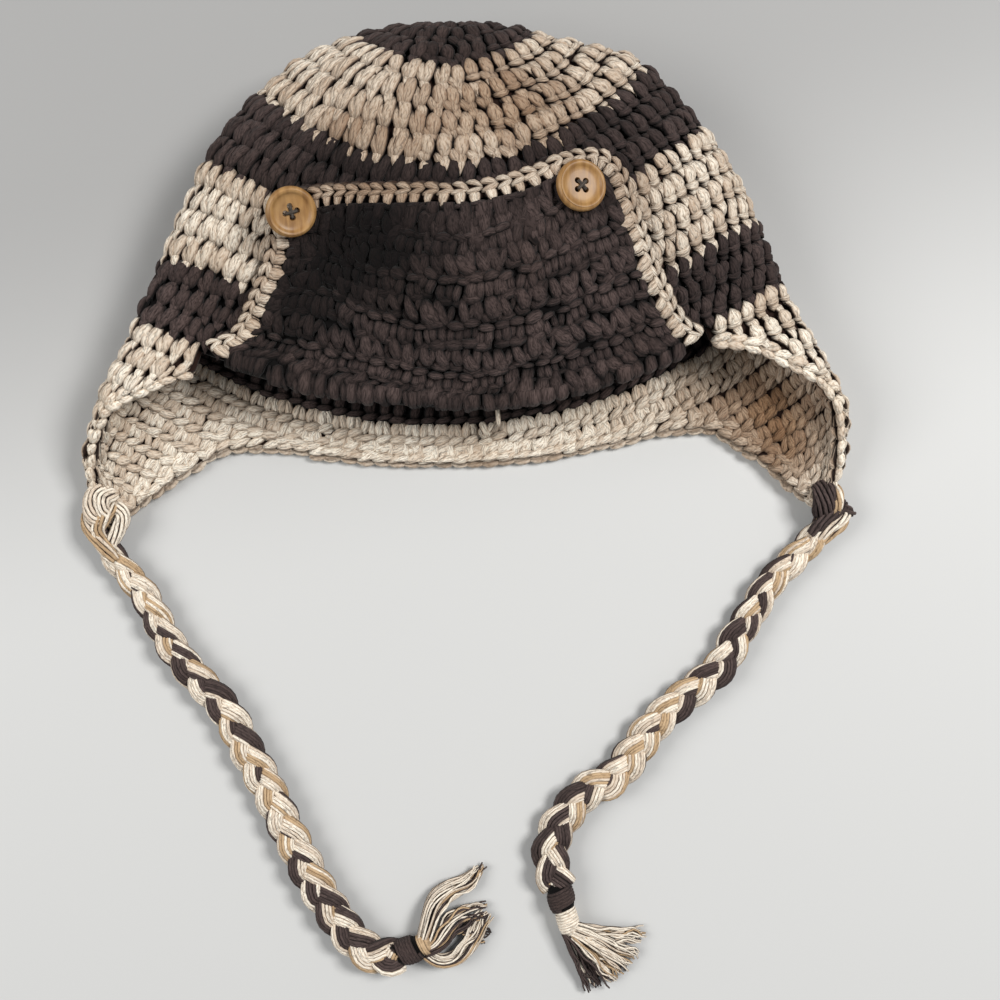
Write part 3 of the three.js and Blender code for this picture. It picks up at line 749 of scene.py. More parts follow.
def yarn_relief(finish, plies):
    """Plies, fibres, distance down the side, where the grooves between plies break off, and tone."""
    u, v = finish.split(finish.node("ShaderNodeUVMap", {"uv_map": "yarn"}))
    tone = finish.attribute("tone")
    wander = finish.noise(finish.vector(u * 4, v * 0.4, tone * 40), 1.0)
    turn = (u * plies + v * 0.06 + wander * 2.2 + tone * 3) * (2 * math.pi)
    ply = turn.math("SINE") * 0.5 + 0.5
    fibre = finish.noise(finish.vector(u * 46, v * 0.8, tone * 60), 1.0, 4.0)
    side = (u - 0.5).math("ABSOLUTE")
    breaks = finish.noise(finish.vector(u * 7, v * 0.45, tone * 30), 1.0, 1.0).between(0.40, 0.54)
    return ply, fibre, side, breaks, tone


def yarn_colour(finish, relief, light, middle, painted_shade_colour):
    """Colour of one yarn: painted shade at its sides and in its grooves, uneven along its length."""
    ply, fibre, side, breaks, tone = relief
    body = finish.mix(tone.between(0.3, 1.0) * 0.5, light, middle)
    body = finish.mix(fibre.between(0.46, 0.62) * 0.7, body, middle)
    # Painted shade: the yarn darkens away from its crest
    body = finish.mix(side.between(0.05, 0.19) * 0.6, body, middle)
    # Painted shade in the grooves between plies
    groove = (1 - ply.between(0.0, 0.30)) * breaks
    body = finish.mix(groove * 0.45, body, painted_shade_colour)
    # Painted shade along the yarn's sides, which outlines every stitch
    return finish.mix(side.between(0.145, 0.24) * 0.97, body, painted_shade_colour)


# Each yarn's light colour, middle colour and painted shade colour
CREAM = ((1.0, 0.93, 0.80, 1), (0.50, 0.36, 0.25, 1), (0.022, 0.010, 0.007, 1))
TAN = ((0.60, 0.43, 0.26, 1), (0.40, 0.27, 0.155, 1), (0.05, 0.025, 0.014, 1))
DARK = ((0.100, 0.070, 0.064, 1), (0.022, 0.0145, 0.0135, 1), (0.0012, 0.0007, 0.0007, 1))
# Tints of the painted shade in the listed places on the cloth
CREAM_PAINTED_SHADE = (0.33, 0.22, 0.145, 1)
DARK_PAINTED_SHADE = (0.06, 0.045, 0.045, 1)


def plain_yarn(name, colours, painted_shade_tint, relief_depth, patch_shade):
    finish = Finish(name)
    relief = yarn_relief(finish, PLIES)
    colour = yarn_colour(finish, relief, *colours)
    # Random darker patches: painted shade of small dents in the cloth
    patch = finish.noise(finish.place(), 34.0, 1.0).between(0.42, 0.68)
    colour = finish.mix(patch * patch_shade, colour, (0.66, 0.58, 0.50, 1), "MULTIPLY")
    # Painted shade of the listed places on the cloth
    colour = finish.mix(finish.attribute("painted_shade"), colour, painted_shade_tint, "MULTIPLY")
    # Painted shade in the gaps between stitches and on the hidden middles
    finish.surface(finish.mix(finish.attribute("dye_and_shade"), colour, colours[2]), 0.88, Sheen_Weight=0.04,
                   Specular_IOR_Level=0.18)
    finish.bump(relief[0] * 0.5 + relief[1] * 0.8, relief_depth)
    return finish.material


def mixed_yarn(name):
    """Three dyed yarns in one plait: dye is 0 for cream, 0.5 for tan and 1 for dark."""
    finish = Finish(name)
    relief = yarn_relief(finish, 3)
    dye_and_shade = finish.attribute("dye_and_shade")
    colours = [yarn_colour(finish, relief, *dyed) for dyed in (CREAM, TAN, DARK)]
    warm = finish.mix(dye_and_shade.between(0.2, 0.3), colours[0], colours[1])
    finish.surface(finish.mix(dye_and_shade.between(0.7, 0.8), warm, colours[2]), 0.8, Sheen_Weight=0.04,
                   Specular_IOR_Level=0.25)
    finish.bump(relief[0] * 0.5 + relief[1] * 0.5, 0.00012)
    return finish.material


def button_wood(name):
    finish = Finish(name)
    place = finish.place()
    stretched = finish.node("ShaderNodeMapping", {}, place, Scale=(900, 130, 130), Rotation=(0.1, 0.2, 0.5))
    grain = finish.noise(stretched, 1.0, 4.0)
    patch = finish.noise(place, 180.0, 2.0)
    body = finish.mix(grain.between(0.3, 0.7), (0.22, 0.105, 0.030, 1), (0.37, 0.20, 0.066, 1))
    body = finish.mix(patch.between(0.4, 0.75) * 0.4, body, (0.50, 0.31, 0.13, 1))
    finish.surface(body, grain * 0.15 + 0.42, Coat_Weight=0.15, Coat_Roughness=0.35)
    finish.bump(grain, 0.00004)
    return finish.material


def dark_thread(name):
    finish = Finish(name)
    relief = yarn_relief(finish, 3)
    colours = ((0.085, 0.07, 0.055, 1), (0.035, 0.025, 0.020, 1), (0.006, 0.004, 0.003, 1))
    finish.surface(yarn_colour(finish, relief, *colours), 0.7)
    finish.bump(relief[0], 0.00008)
    return finish.material


FINISHES = {
    "cream_yarn": plain_yarn("cream_yarn", CREAM, CREAM_PAINTED_SHADE, 0.00035, 0.4),
    "dark_yarn": plain_yarn("dark_yarn", DARK, DARK_PAINTED_SHADE, 0.00035, 0.3),
    "mixed_yarn": mixed_yarn("mixed_yarn"),
    "button_wood": button_wood("button_wood"),
    "dark_thread": dark_thread("dark_thread"),
}


# Stitches. A leg is the number of its sides, its path, its half widths and its half thicknesses. The path
# is three points (right, down, out) in stitch widths, row heights and millimetres from the cloth's middle.
# The half sizes are in millimetres, evenly along the path.

# Drops that end in a point, with a leaf at their lower left, as in the middle of the front
DROP_LEGS = [
    (8, [(0.02, -0.66, 1.3), (0.06, -0.18, 4.2), (0.0, 0.28, 1.0)],
     [0.30, 1.50, 2.20, 2.40, 2.15, 1.55, 0.6], [0.35, 0.85, 1.2, 1.3, 1.2, 0.95, 0.5]),
    (6, [(0.06, 0.02, 1.0), (0.04, 0.30, 3.2), (0.02, 0.60, 0.7)],
     [0.9, 1.80, 1.65, 1.0, 0.35], [0.5, 0.9, 0.9, 0.7, 0.35]),
    (6, [(-0.54, -0.10, 0.9), (-0.38, 0.18, 3.5), (-0.02, 0.46, 1.2)],
     [0.35, 1.35, 1.60, 1.25, 0.4], [0.4, 0.85, 0.95, 0.8, 0.4]),
]
# Drops that stand in a cup, as on the right side
CUP_LEGS = [
    (8, [(0.0, -0.72, 1.7), (0.02, -0.28, 4.2), (0.0, 0.12, 1.1)],
     [0.15, 1.20, 1.95, 2.40, 2.40, 1.80, 0.8], [0.3, 0.8, 1.2, 1.3, 1.2, 0.95, 0.5]),
    (6, [(-0.56, -0.06, 0.9), (0.02, 0.24, 4.2), (0.56, -0.06, 0.9)],
     [0.35, 1.1, 1.50, 1.55, 1.15, 0.4], [0.4, 0.8, 0.95, 0.95, 0.8, 0.4]),
    (6, [(-0.30, 0.20, 1.0), (0.02, 0.56, 3.4), (0.32, 0.18, 1.0)],
     [0.5, 1.2, 1.2, 0.5], [0.5, 0.85, 0.85, 0.5]),
]
# Forks, wide at the crown and pointed below, as on the left side
FORK_LEGS = [
    (8, [(0.27, -0.62, 1.5), (0.25, -0.10, 4.2), (0.02, 0.54, 0.8)],
     [1.45, 1.90, 2.05, 1.95, 1.70, 1.20, 0.3], [0.8, 1.15, 1.3, 1.2, 1.0, 0.75, 0.4]),
    (6, [(-0.33, -0.44, 1.3), (-0.28, 0.04, 3.8), (-0.03, 0.50, 1.1)],
     [0.40, 1.30, 1.65, 1.30, 0.3], [0.45, 0.9, 1.05, 0.85, 0.4]),
]
# The narrow end of every stitch, which shows between the tops of the next row
TAIL_LEGS = [
    (5, [(0.0, 0.24, 1.4), (0.03, 0.56, 3.9), (0.0, 0.86, 1.1)],
     [1.3, 1.85, 1.55, 0.9, 0.15], [0.5, 0.8, 0.75, 0.5, 0.2]),
]
BACK_LEGS = [
    (6, [(-0.02, -0.50, 1.1), (-0.30, -0.16, 2.6), (-0.36, 0.26, 1.0)],
     [0.9, 1.55, 1.75, 1.55, 0.8], [0.5, 0.9, 1.05, 0.9, 0.5]),
    (6, [(0.12, -0.50, 1.1), (0.28, -0.16, 2.5), (0.24, 0.26, 1.0)],
     [0.9, 1.5, 1.7, 1.5, 0.8], [0.5, 0.9, 1.05, 0.9, 0.5]),
    (6, [(-0.66, 0.50, 1.2), (-0.05, 0.36, 3.5), (0.62, 0.16, 1.3)],
     [0.7, 1.4, 1.65, 1.45, 0.6], [0.5, 1.0, 1.15, 1.0, 0.5]),
    (5, [(-0.30, 0.56, 0.9), (0.05, 0.52, 2.5), (0.52, 0.44, 1.1)],
     [0.5, 1.1, 1.1, 0.5], [0.4, 0.75, 0.8, 0.4]),
]
# The same with fewer corners, for the crown's inside
LINING_LEGS = [
    (5, [(-0.02, -0.50, 1.0), (-0.06, -0.10, 2.6), (-0.06, 0.30, 1.0)],
     [1.3, 2.1, 2.1, 1.2], [0.5, 0.95, 0.95, 0.5]),
    (5, [(-0.62, 0.46, 1.0), (-0.05, 0.36, 3.3), (0.58, 0.20, 1.1)],
     [0.6, 1.35, 1.35, 0.6], [0.5, 1.0, 1.0, 0.5]),
]


def painted_shade_at(points, side):
    """How much painted shade the yarn gets at places on one side of the cloth."""
    amount = np.zeros(points.shape[:-1])
    for x, y, half_wide, half_high, painted_shade, face in PAINTED_SHADE_PLACES:
        if face == side:
            off = ((points[..., 0] - x) / half_wide) ** 2 + ((points[..., 1] - y) / half_high) ** 2
            amount = amount + painted_shade * np.exp(-off)
    return np.clip(amount, 0, 1)


def add_stitches(piece, sheet, downs, acrosses, widths, heights, legs, side, limit=None, jitter=1.0,
                 lit=1.0, tone=None, depths=DEPTHS):
    """The legs of many stitches. side is +1 on the outside of the sheet and -1 on its inside.

    downs, widths and heights may be one number for all. limit, where given, keeps a place (down, across)
    inside the cloth. jitter is how uneven the work is.
    """
    downs, acrosses, widths, heights = np.broadcast_arrays(downs, acrosses, widths, heights)
    count = len(acrosses)
    per_down, per_across = sheet.scale(downs, acrosses)
    stitch_tone = random.random(count) if tone is None else tone
    # Painted shade of dents and hollows at each stitch
    painted_shades = painted_shade_at(sheet.at(downs, acrosses, 0), side)
    nudge = random.normal(0, 1, (count, 2)) * (0.05, 0.045) * jitter
    swell = 1 + random.normal(0, 0.08, count) * jitter
    tilt = random.normal(0, 0.10, count) * jitter
    cos, sin = np.cos(tilt)[:, None], np.sin(tilt)[:, None]
    for sides, control, half_widths, half_thicknesses in legs:
        line = bent(*np.array(control), np.linspace(0, 1, len(half_widths)))
        path = np.repeat(line[None], count, axis=0)
        path[:, :, :2] += nudge[:, None] + random.normal(0, 0.025 * jitter, (count, 1, 2))
        right = path[:, :, 0] * widths[:, None]
        down = path[:, :, 1] * heights[:, None]
        path[:, :, 0] = right * cos - down * sin
        path[:, :, 1] = right * sin + down * cos
        path[:, :, 2] += random.normal(0, 0.14 * jitter, (count, 1))
        grow = swell * (widths / STITCH_WIDTH) ** 0.5 * (1 + random.normal(0, 0.05 * jitter, count))
        wide = np.array(half_widths) * grow[:, None]
        thick = np.array(half_thicknesses) * grow[:, None]

        def warp(points):
            right, down, out = points[..., 0], points[..., 1], points[..., 2]
            across = acrosses[:, None] + sheet.rightward * side * right / per_across[:, None]
            reach = downs[:, None] + down / per_down[:, None]
            if limit is not None:
                reach, across = limit(reach, across)
            return sheet.at(reach, across, side * out)

        tones = np.clip(stitch_tone + random.normal(0, 0.12, count), 0, 1)
        piece.add_tubes(path, wide, thick, sides, tones, 0.0, painted_shades, warp=warp, lit=lit, depths=depths)


def row_stitches(sheet, down, start, end, row_number, closed, count=None):
    """Places of one row's stitches, which stand over the gaps of the row before."""
    shift = row_number * ROW_DRIFT % 1 if closed else 0.5 * (row_number * ROW_DRIFT % 1) - 0.125
    return sheet.even_places(down, start, end, STITCH_WIDTH, shift, closed, count)


def all_stitches(rows):
    """The stitches of rows given as (down, acrosses, width): one array for each of the three."""
    return np.concatenate([np.stack(np.broadcast_arrays(*row)) for row in rows], axis=1)


def add_outer_stitches(piece, downs, acrosses, widths, height, limit=None):
    """Forks on the hat's left, drops in the middle and cups on the right, mixed where they meet."""
    mixed = acrosses + random.normal(0, 7, len(acrosses))
    forks = (mixed > -168) & (mixed < -25)
    cups = (mixed > 25) & (mixed < 158)
    for legs, chosen in ((FORK_LEGS, forks), (CUP_LEGS, cups), (DROP_LEGS, ~forks & ~cups)):
        if chosen.any():
            add_stitches(piece, cloth_sheet, downs[chosen], acrosses[chosen], widths[chosen], height, legs,
                         1, limit)
    # Tone 0 gives the tails the lightest colour: a painted highlight on their raised tips
    add_stitches(piece, cloth_sheet, downs, acrosses, widths, height, TAIL_LEGS, 1, limit, tone=0.0,
                 depths=TAIL_DEPTHS)


def dress_stripe(name, start, end, rows, yarn, first_row):
    """One stripe: its hidden middle and the stitches of both sides."""
    piece = Piece(name, "stitches", yarn)
    pitch = (end - start) / rows
    edges = np.linspace(max(start - CORE_OVERLAP, 0.4), end + CORE_OVERLAP, rows * 3 + 1)[:, None]
    piece.add_slab(cloth_sheet, edges, np.linspace(-180, 180, 121)[None], CORE_HALF, True)
    count = None
    if start > GROWING_END:
        count = len(row_stitches(cloth_sheet, (start + end) / 2, -180, 180, 0, True)[0])
    middles = [start + pitch * (k + 0.5) for k in range(rows)]
    stitches = all_stitches((down, *row_stitches(cloth_sheet, down, -180, 180, first_row + k, True, count))
                            for k, down in enumerate(middles))
    add_outer_stitches(piece, *stitches, pitch)
    add_stitches(piece, cloth_sheet, *stitches, pitch, LINING_LEGS, -1)
    return piece.build()


def rim_intervals(down):
    """Stretches of a row that lie inside the free edge."""
    fine = np.linspace(*FLAP_FRONTS, 1025)
    inside = rim_along(fine) > down + 0.4 * RIM_ROW
    changes = np.flatnonzero(np.diff(inside.astype(int)))
    bounds = [0, *(changes + 1), len(fine)]
    return [(fine[a], fine[b - 1]) for a, b in zip(bounds, bounds[1:]) if inside[a] and b - a > 12]


def inside_rim(along, around):
    around = np.clip(around, FLAP_FRONTS[0] + 0.6, FLAP_FRONTS[1] - 0.6)
    return np.minimum(along, rim_along(around) - 0.9), around


EDGE_LEGS = [
    (8, [(-0.62, 0.62, 0.9), (-0.02, 0.30, 2.9), (0.58, 0.02, 1.0)],
     [0.6, 1.25, 1.5, 1.25, 0.6], [0.5, 1.0, 1.15, 1.0, 0.5]),
    (8, [(-0.60, -0.24, 0.0), (0.0, -0.30, 0.9), (0.58, 0.04, 0.2)],
     [0.6, 1.2, 1.4, 1.2, 0.6], [0.6, 1.2, 1.4, 1.2, 0.6]),
]
EDGE_ROW = 3.8
EDGE_STITCH = 5.2
EDGE_CHAIN = 0.8            # distance in from the free edge of the chain on the outside
INNER_CHAINS = (0.8, 3.6)   # distances in from the free edge of the chains on the cloth's inside
# Yarn ends that show below the panel's fold and on the join of the rows: a line and its radius
YARN_ENDS = [
    ([(9.3, -36.0, 28.0), (9.5, -41.0, 27.4), (9.9, -45.4, 25.2)], 0.8),
    ([(4.4, -43.6, 7.0), (5.2, -45.4, 8.4), (6.6, -47.6, 7.0)], 1.3),
    ([(7.6, -43.8, 6.8), (6.6, -45.6, 8.0), (5.0, -48.2, 6.8)], 1.1),
]


def dress_rim():
    """The cream stripe below the crown, its two ear flaps and the chain round its free edge."""
    piece = Piece("rim_and_ear_flaps", "stitches", "cream_yarn")
    columns = np.linspace(*FLAP_FRONTS, 161)
    share = np.linspace(0, 1, 25)[:, None]
    downs = FOLD - 0.5 + (rim_along(columns)[None] - 0.8 - FOLD) * share
    piece.add_slab(cloth_sheet, downs, columns[None], CORE_HALF, False)
    middles = [FOLD + RIM_ROW * (k + 0.5) for k in range(RIM_ROWS)]
    stitches = all_stitches((down, *row_stitches(cloth_sheet, down, *ends, k, False))
                            for k, down in enumerate(middles) for ends in rim_intervals(down))
    add_outer_stitches(piece, *stitches, RIM_ROW, inside_rim)
    add_stitches(piece, cloth_sheet, *stitches, RIM_ROW, BACK_LEGS, -1, inside_rim, depths=BACK_DEPTHS)
    places, spacing = rim_sheet.even_places(1.0, 0.0, 1.0, EDGE_STITCH)
    edge = (places, spacing, EDGE_ROW)
    add_stitches(piece, rim_sheet, EDGE_CHAIN, *edge, EDGE_LEGS, 1, lit=0.4, depths=BARE_DEPTHS)
    for inward in INNER_CHAINS:
        add_stitches(piece, rim_sheet, inward, *edge, EDGE_LEGS[:1], -1, lit=0.8, depths=CHAIN_DEPTHS)
    for points, radius in YARN_ENDS:
        line = curve_at(points, np.linspace(0, 1, 9))
        half = radius * np.array([0.7, 1, 1, 1, 1, 1, 1, 1, 0.6])
        piece.add_tubes(line, half, half, sides=8, tones=0.1)
    return piece.build()


PANEL_ROW = 6.2
PANEL_STITCH = 4.7
PANEL_LEAVES = [
    (8, [(-0.36, -0.64, 0.8), (-0.06, -0.04, 3.7), (0.34, 0.58, 0.8)],
     [0.9, 1.65, 2.05, 1.90, 0.9], [0.6, 1.1, 1.35, 1.2, 0.6]),
    (7, [(0.54, -0.58, 0.8), (0.46, -0.12, 3.0), (0.14, 0.46, 0.8)],
     [0.8, 1.4, 1.5, 1.2, 0.6], [0.5, 0.95, 1.05, 0.9, 0.5]),
    (6, [(-0.54, 0.10, 0.8), (-0.40, 0.42, 2.6), (-0.10, 0.72, 0.8)],
     [0.8, 1.35, 1.25, 0.6], [0.5, 0.9, 0.85, 0.5]),
    (6, [(-0.60, 0.50, 1.0), (0.0, 0.56, 2.5), (0.60, 0.50, 1.0)],
     [1.1, 1.7, 1.7, 1.1], [0.7, 0.9, 0.9, 0.7]),
]
PANEL_BARS = [
    (7, [(-0.50, -0.36, 1.2), (0.0, -0.54, 3.5), (0.48, -0.30, 1.2)],
     [0.8, 1.35, 1.5, 1.3, 0.7], [0.6, 1.0, 1.1, 1.0, 0.6]),
    (7, [(-0.22, -0.22, 0.8), (-0.32, 0.12, 3.3), (-0.16, 0.60, 0.8)],
     [1.0, 1.6, 1.7, 1.35, 0.6], [0.6, 1.05, 1.15, 0.95, 0.5]),
    (7, [(0.30, -0.24, 0.8), (0.20, 0.10, 3.2), (0.36, 0.58, 0.8)],
     [0.9, 1.45, 1.6, 1.3, 0.6], [0.6, 1.0, 1.1, 0.95, 0.5]),
    (6, [(-0.60, 0.50, 1.0), (0.0, 0.56, 2.5), (0.60, 0.50, 1.0)],
     [1.1, 1.6, 1.6, 1.1], [0.7, 0.9, 0.9, 0.7]),
]
PANEL_LOBES = [
    (9, [(0.0, -0.66, 0.6), (0.0, 0.0, 2.6), (0.0, 0.62, 0.6)],
     [0.8, 1.9, 2.3, 2.35, 1.9, 0.9], [0.5, 1.1, 1.35, 1.35, 1.1, 0.6]),
    (6, [(-0.54, -0.30, 0.9), (-0.44, 0.10, 2.6), (-0.30, 0.56, 0.8)],
     [0.6, 1.1, 1.1, 0.6], [0.5, 0.85, 0.85, 0.5]),
]
PANEL_JITTER = 1.7


def inside_panel(down, u):
    return np.clip(down, -1.5, PANEL_HEIGHT + FOLD_ARC), np.clip(u, -0.005, 1.005)


def dress_panel():
    """The turned-up panel, worked to and fro, so that its rows show the two sides in turn."""
    piece = Piece("brim_panel", "stitches", "dark_yarn")
    depth = PANEL_HEIGHT + FOLD_ARC - 0.2
    downs = np.concatenate([np.linspace(-1.0, PANEL_HEIGHT, 26), np.linspace(PANEL_HEIGHT + 1, depth, 8)])
    piece.add_slab(panel_sheet, downs[:, None], np.linspace(0.0, 1.0, 49)[None], CORE_HALF, False)
    rows = int(depth / PANEL_ROW)
    for k in range(rows):
        down = PANEL_ROW * (k + 0.5) - 0.6
        places, spacing = panel_sheet.even_places(down, 0.0, 1.0, PANEL_STITCH)
        if k >= rows - 2:
            legs = PANEL_LOBES
        else:
            legs = PANEL_BARS if k % 2 else PANEL_LEAVES
        wave = 0.5 * np.sin(places * 17 + k * 2.1) + 0.4 * np.sin(places * 41 + k * 1.3)
        add_stitches(piece, panel_sheet, down + wave, places, spacing, PANEL_ROW, legs, 1, inside_panel,
                     PANEL_JITTER, depths=PANEL_DEPTHS)
    return piece.build()


CHAIN_LEGS = [
    (7, [(-0.62, 0.02, 0.8), (0.0, -0.05, 2.7), (0.52, 0.34, 1.4)],
     [0.5, 0.95, 1.15, 0.95, 0.5], [0.45, 0.9, 1.05, 0.9, 0.45]),
    (7, [(-0.62, 0.58, 0.8), (0.0, 0.60, 2.9), (0.52, 0.34, 1.4)],
     [0.5, 0.95, 1.15, 0.95, 0.5], [0.45, 0.9, 1.05, 0.9, 0.45]),
    (6, [(-0.6, -0.02, -1.2), (0.0, -0.12, 0.2), (0.6, -0.02, -1.2)],
     [0.8, 1.3, 1.3, 0.8], [0.8, 1.2, 1.2, 0.8]),
]
# Teeth inside the chain: pointed along the top, full shells down the sides
TOOTH_LEGS = [
    (8, [(0.0, 0.50, 1.2), (0.02, 0.98, 3.1), (0.04, 1.62, 1.3)],
     [1.4, 1.75, 1.5, 0.9, 0.15], [0.7, 1.0, 0.95, 0.7, 0.2]),
]
SHELL_LEGS = [
    (8, [(-0.10, 0.46, 1.2), (-0.06, 1.02, 3.3), (0.06, 1.62, 0.9)],
     [1.3, 2.0, 2.1, 1.6, 0.6], [0.7, 1.1, 1.15, 0.9, 0.4]),
    (6, [(0.38, 0.52, 1.0), (0.40, 0.92, 2.3), (0.34, 1.36, 0.9)],
     [0.6, 0.95, 0.9, 0.3], [0.5, 0.8, 0.7, 0.3]),
]
EDGING_ROW = 4.4
EDGING_STITCH = 4.1
EDGING_CHAIN = 0.6          # distance in from the border of the chain's middle


def dress_edging():
    """Chain and teeth of cream yarn along the panel's border."""
    piece = Piece("brim_edging", "stitches", "cream_yarn")
    columns = np.linspace(0, 1, 121)[None]
    piece.add_slab(edging_sheet, np.linspace(0.5, 4.6, 5)[:, None], columns, CORE_HALF, False)
    places, spacing = edging_sheet.even_places(1.0, 0.0, 1.0, EDGING_STITCH)
    top = (places > BORDER_LEFT_CORNER) & (places < BORDER_RIGHT_CORNER)
    for legs, chosen in ((CHAIN_LEGS, places > -1), (TOOTH_LEGS, top), (SHELL_LEGS, ~top)):
        add_stitches(piece, edging_sheet, EDGING_CHAIN, places[chosen], spacing, EDGING_ROW, legs, 1,
                     jitter=0.8, depths=EDGING_DEPTHS)
    return piece.build()


# Ties

CREAM_DYE, TAN_DYE, DARK_DYE = 0.0, 0.5, 1.0
# Yarns round each strand, in groups as they were laid together
STRANDS = [
    "cccccttcccccdddc",
    "ccctttcccddddddc",
    "ctccccdddddccctt",
]
DYES = {"c": CREAM_DYE, "t": TAN_DYE, "d": DARK_DYE}
PLAIT_LENGTH = 25.5         # one full round of a strand
YARN_RADIUS = 0.60
WOUND_POINTS = 22           # points in each turn of a wound yarn
LOWEST = 0.5                # the lowest that a loose yarn's middle lies over the floor
BUNDLE_CORE = 0.82          # half size of a bundle's dark core, painted shade between its yarns, as a share of the bundle's
PLAIT_STEP = 1.45           # distance between the rings of a plait
STRAND_HALF = (2.5, 1.35)   # half width and half thickness of a strand
STRAND_RISE = 1.65          # how far a strand goes over and under the plait's middle
STRAND_TURN = 90.0          # length in which a strand's yarns go once round it


def lying_frame(line):
    """Sideways direction and upward direction along a line near the floor."""
    run = unit(np.gradient(line, axis=0))
    side = unit(np.cross(run, UP))
    return side, np.cross(side, run)


def add_bundle(piece, centre, half_wide, half_thick, pattern, rounds, sides=5):
    """Yarns laid round a line: a pattern of dyes, a flat round section and a slow twist."""
    side, up = lying_frame(centre)
    dye_and_shades = np.array([DYES[letter] for letter in pattern])
    # The dark core is painted shade between the bundle's yarns
    piece.add_tubes(centre, half_wide * BUNDLE_CORE, half_thick * BUNDLE_CORE, sides=8, tones=0.9,
                    dye_and_shades=DARK_DYE, ups=up)
    t = np.linspace(0, 1, len(centre))
    turn = 2 * np.pi * (rounds * t + np.arange(len(dye_and_shades))[:, None] / len(dye_and_shades))
    wobble = random.normal(0, 0.05, (len(dye_and_shades), 1)) + random.normal(0, 0.03, turn.shape)
    yarns = (centre[None] + side[None] * (half_wide * np.cos(turn) + wobble)[..., None]
             + up[None] * (half_thick * np.sin(turn) + wobble)[..., None])
    yarns[..., 2] = np.maximum(yarns[..., 2], LOWEST)
    piece.add_tubes(yarns, YARN_RADIUS, YARN_RADIUS * 0.9, sides, random.random(len(dye_and_shades)), dye_and_shades, lit=0.74)


def dress_braid(side_name):
    """A three-strand plait: each strand is a flat bundle of dyed yarns."""
    piece = Piece("tie_braid_" + side_name, "yarns", "mixed_yarn")
    fine = curve_at(TIES[side_name], np.linspace(0, 1, 400))
    length = line_length(fine)
    line = by_length(fine, int(length / PLAIT_STEP))
    side, up = lying_frame(line)
    far = np.linspace(0, length, len(line))
    swing = np.interp(far / length, [0, 0.10, 0.5, 1], [1.8, 2.2, 2.8, 3.1])
    swell = np.interp(far / length, [0, 0.10, 0.5, 1], [0.74, 0.86, 1.02, 1.12])
    for k, pattern in enumerate(STRANDS):
        phase = 2 * np.pi * (far / PLAIT_LENGTH + k / 3)
        uneven = 1 + 0.08 * np.sin(far / 9 + k * 2)
        centre = (line + side * (swing * uneven * np.sin(phase))[:, None]
                  + up * (STRAND_RISE * np.sin(2 * phase))[:, None])
        add_bundle(piece, centre, STRAND_HALF[0] * swell * uneven, STRAND_HALF[1] * swell, pattern,
                   length / STRAND_TURN)
    return piece.build(), line, length


def tie_end(side_name):
    """Where the plait ends and the way it points there."""
    last = curve_at(TIES[side_name], np.array([0.985, 1.0]))
    return last[1], unit(last[1] - last[0])


def add_wound(piece, start, aim, length, radius, yarn_radius, turns, lean, dye_and_shade):
    """A yarn wound round a straight line; lean slants its turns."""
    side = unit(np.cross(aim, UP))
    up = np.cross(side, aim)
    t = np.linspace(0, 1, int(WOUND_POINTS * turns))
    angle = 2 * np.pi * turns * t
    bulge = radius - yarn_radius - 0.12 * radius * np.abs(2 * t - 1) ** 3
    reach = yarn_radius + (length - 2 * yarn_radius) * t + lean * np.cos(angle)
    line = (start + aim * reach[:, None] + side * (bulge * np.cos(angle))[:, None]
            + up * (bulge * np.sin(angle))[:, None])
    out = line - start - aim * reach[:, None]
    piece.add_tubes(line, yarn_radius, yarn_radius * 0.85, sides=8, tones=0.4, dye_and_shades=dye_and_shade, ups=out)


def dress_wrap(side_name):
    """Yarn wound round the plait's end."""
    piece = Piece("tie_wrap_" + side_name, "yarn", "dark_yarn")
    end, aim = tie_end(side_name)
    start = end + aim * GAP
    add_wound(piece, start, aim, WRAP_LENGTH, WRAP_DIAMETER / 2, yarn_radius=0.62, turns=6.2, lean=0.8,
              dye_and_shade=0.0)
    # A dark core: painted shade between the wound turns
    core = start + aim * np.linspace(-0.6, WRAP_LENGTH + 0.6, 6)[:, None]
    core_half = np.array([3.2, 3.8, 4.0, 4.0, 3.8, 3.2])
    piece.add_tubes(core, core_half, core_half * 0.95, sides=14, tones=0.6, dye_and_shades=PAINTED_GAP_SHADE)
    return piece.build()


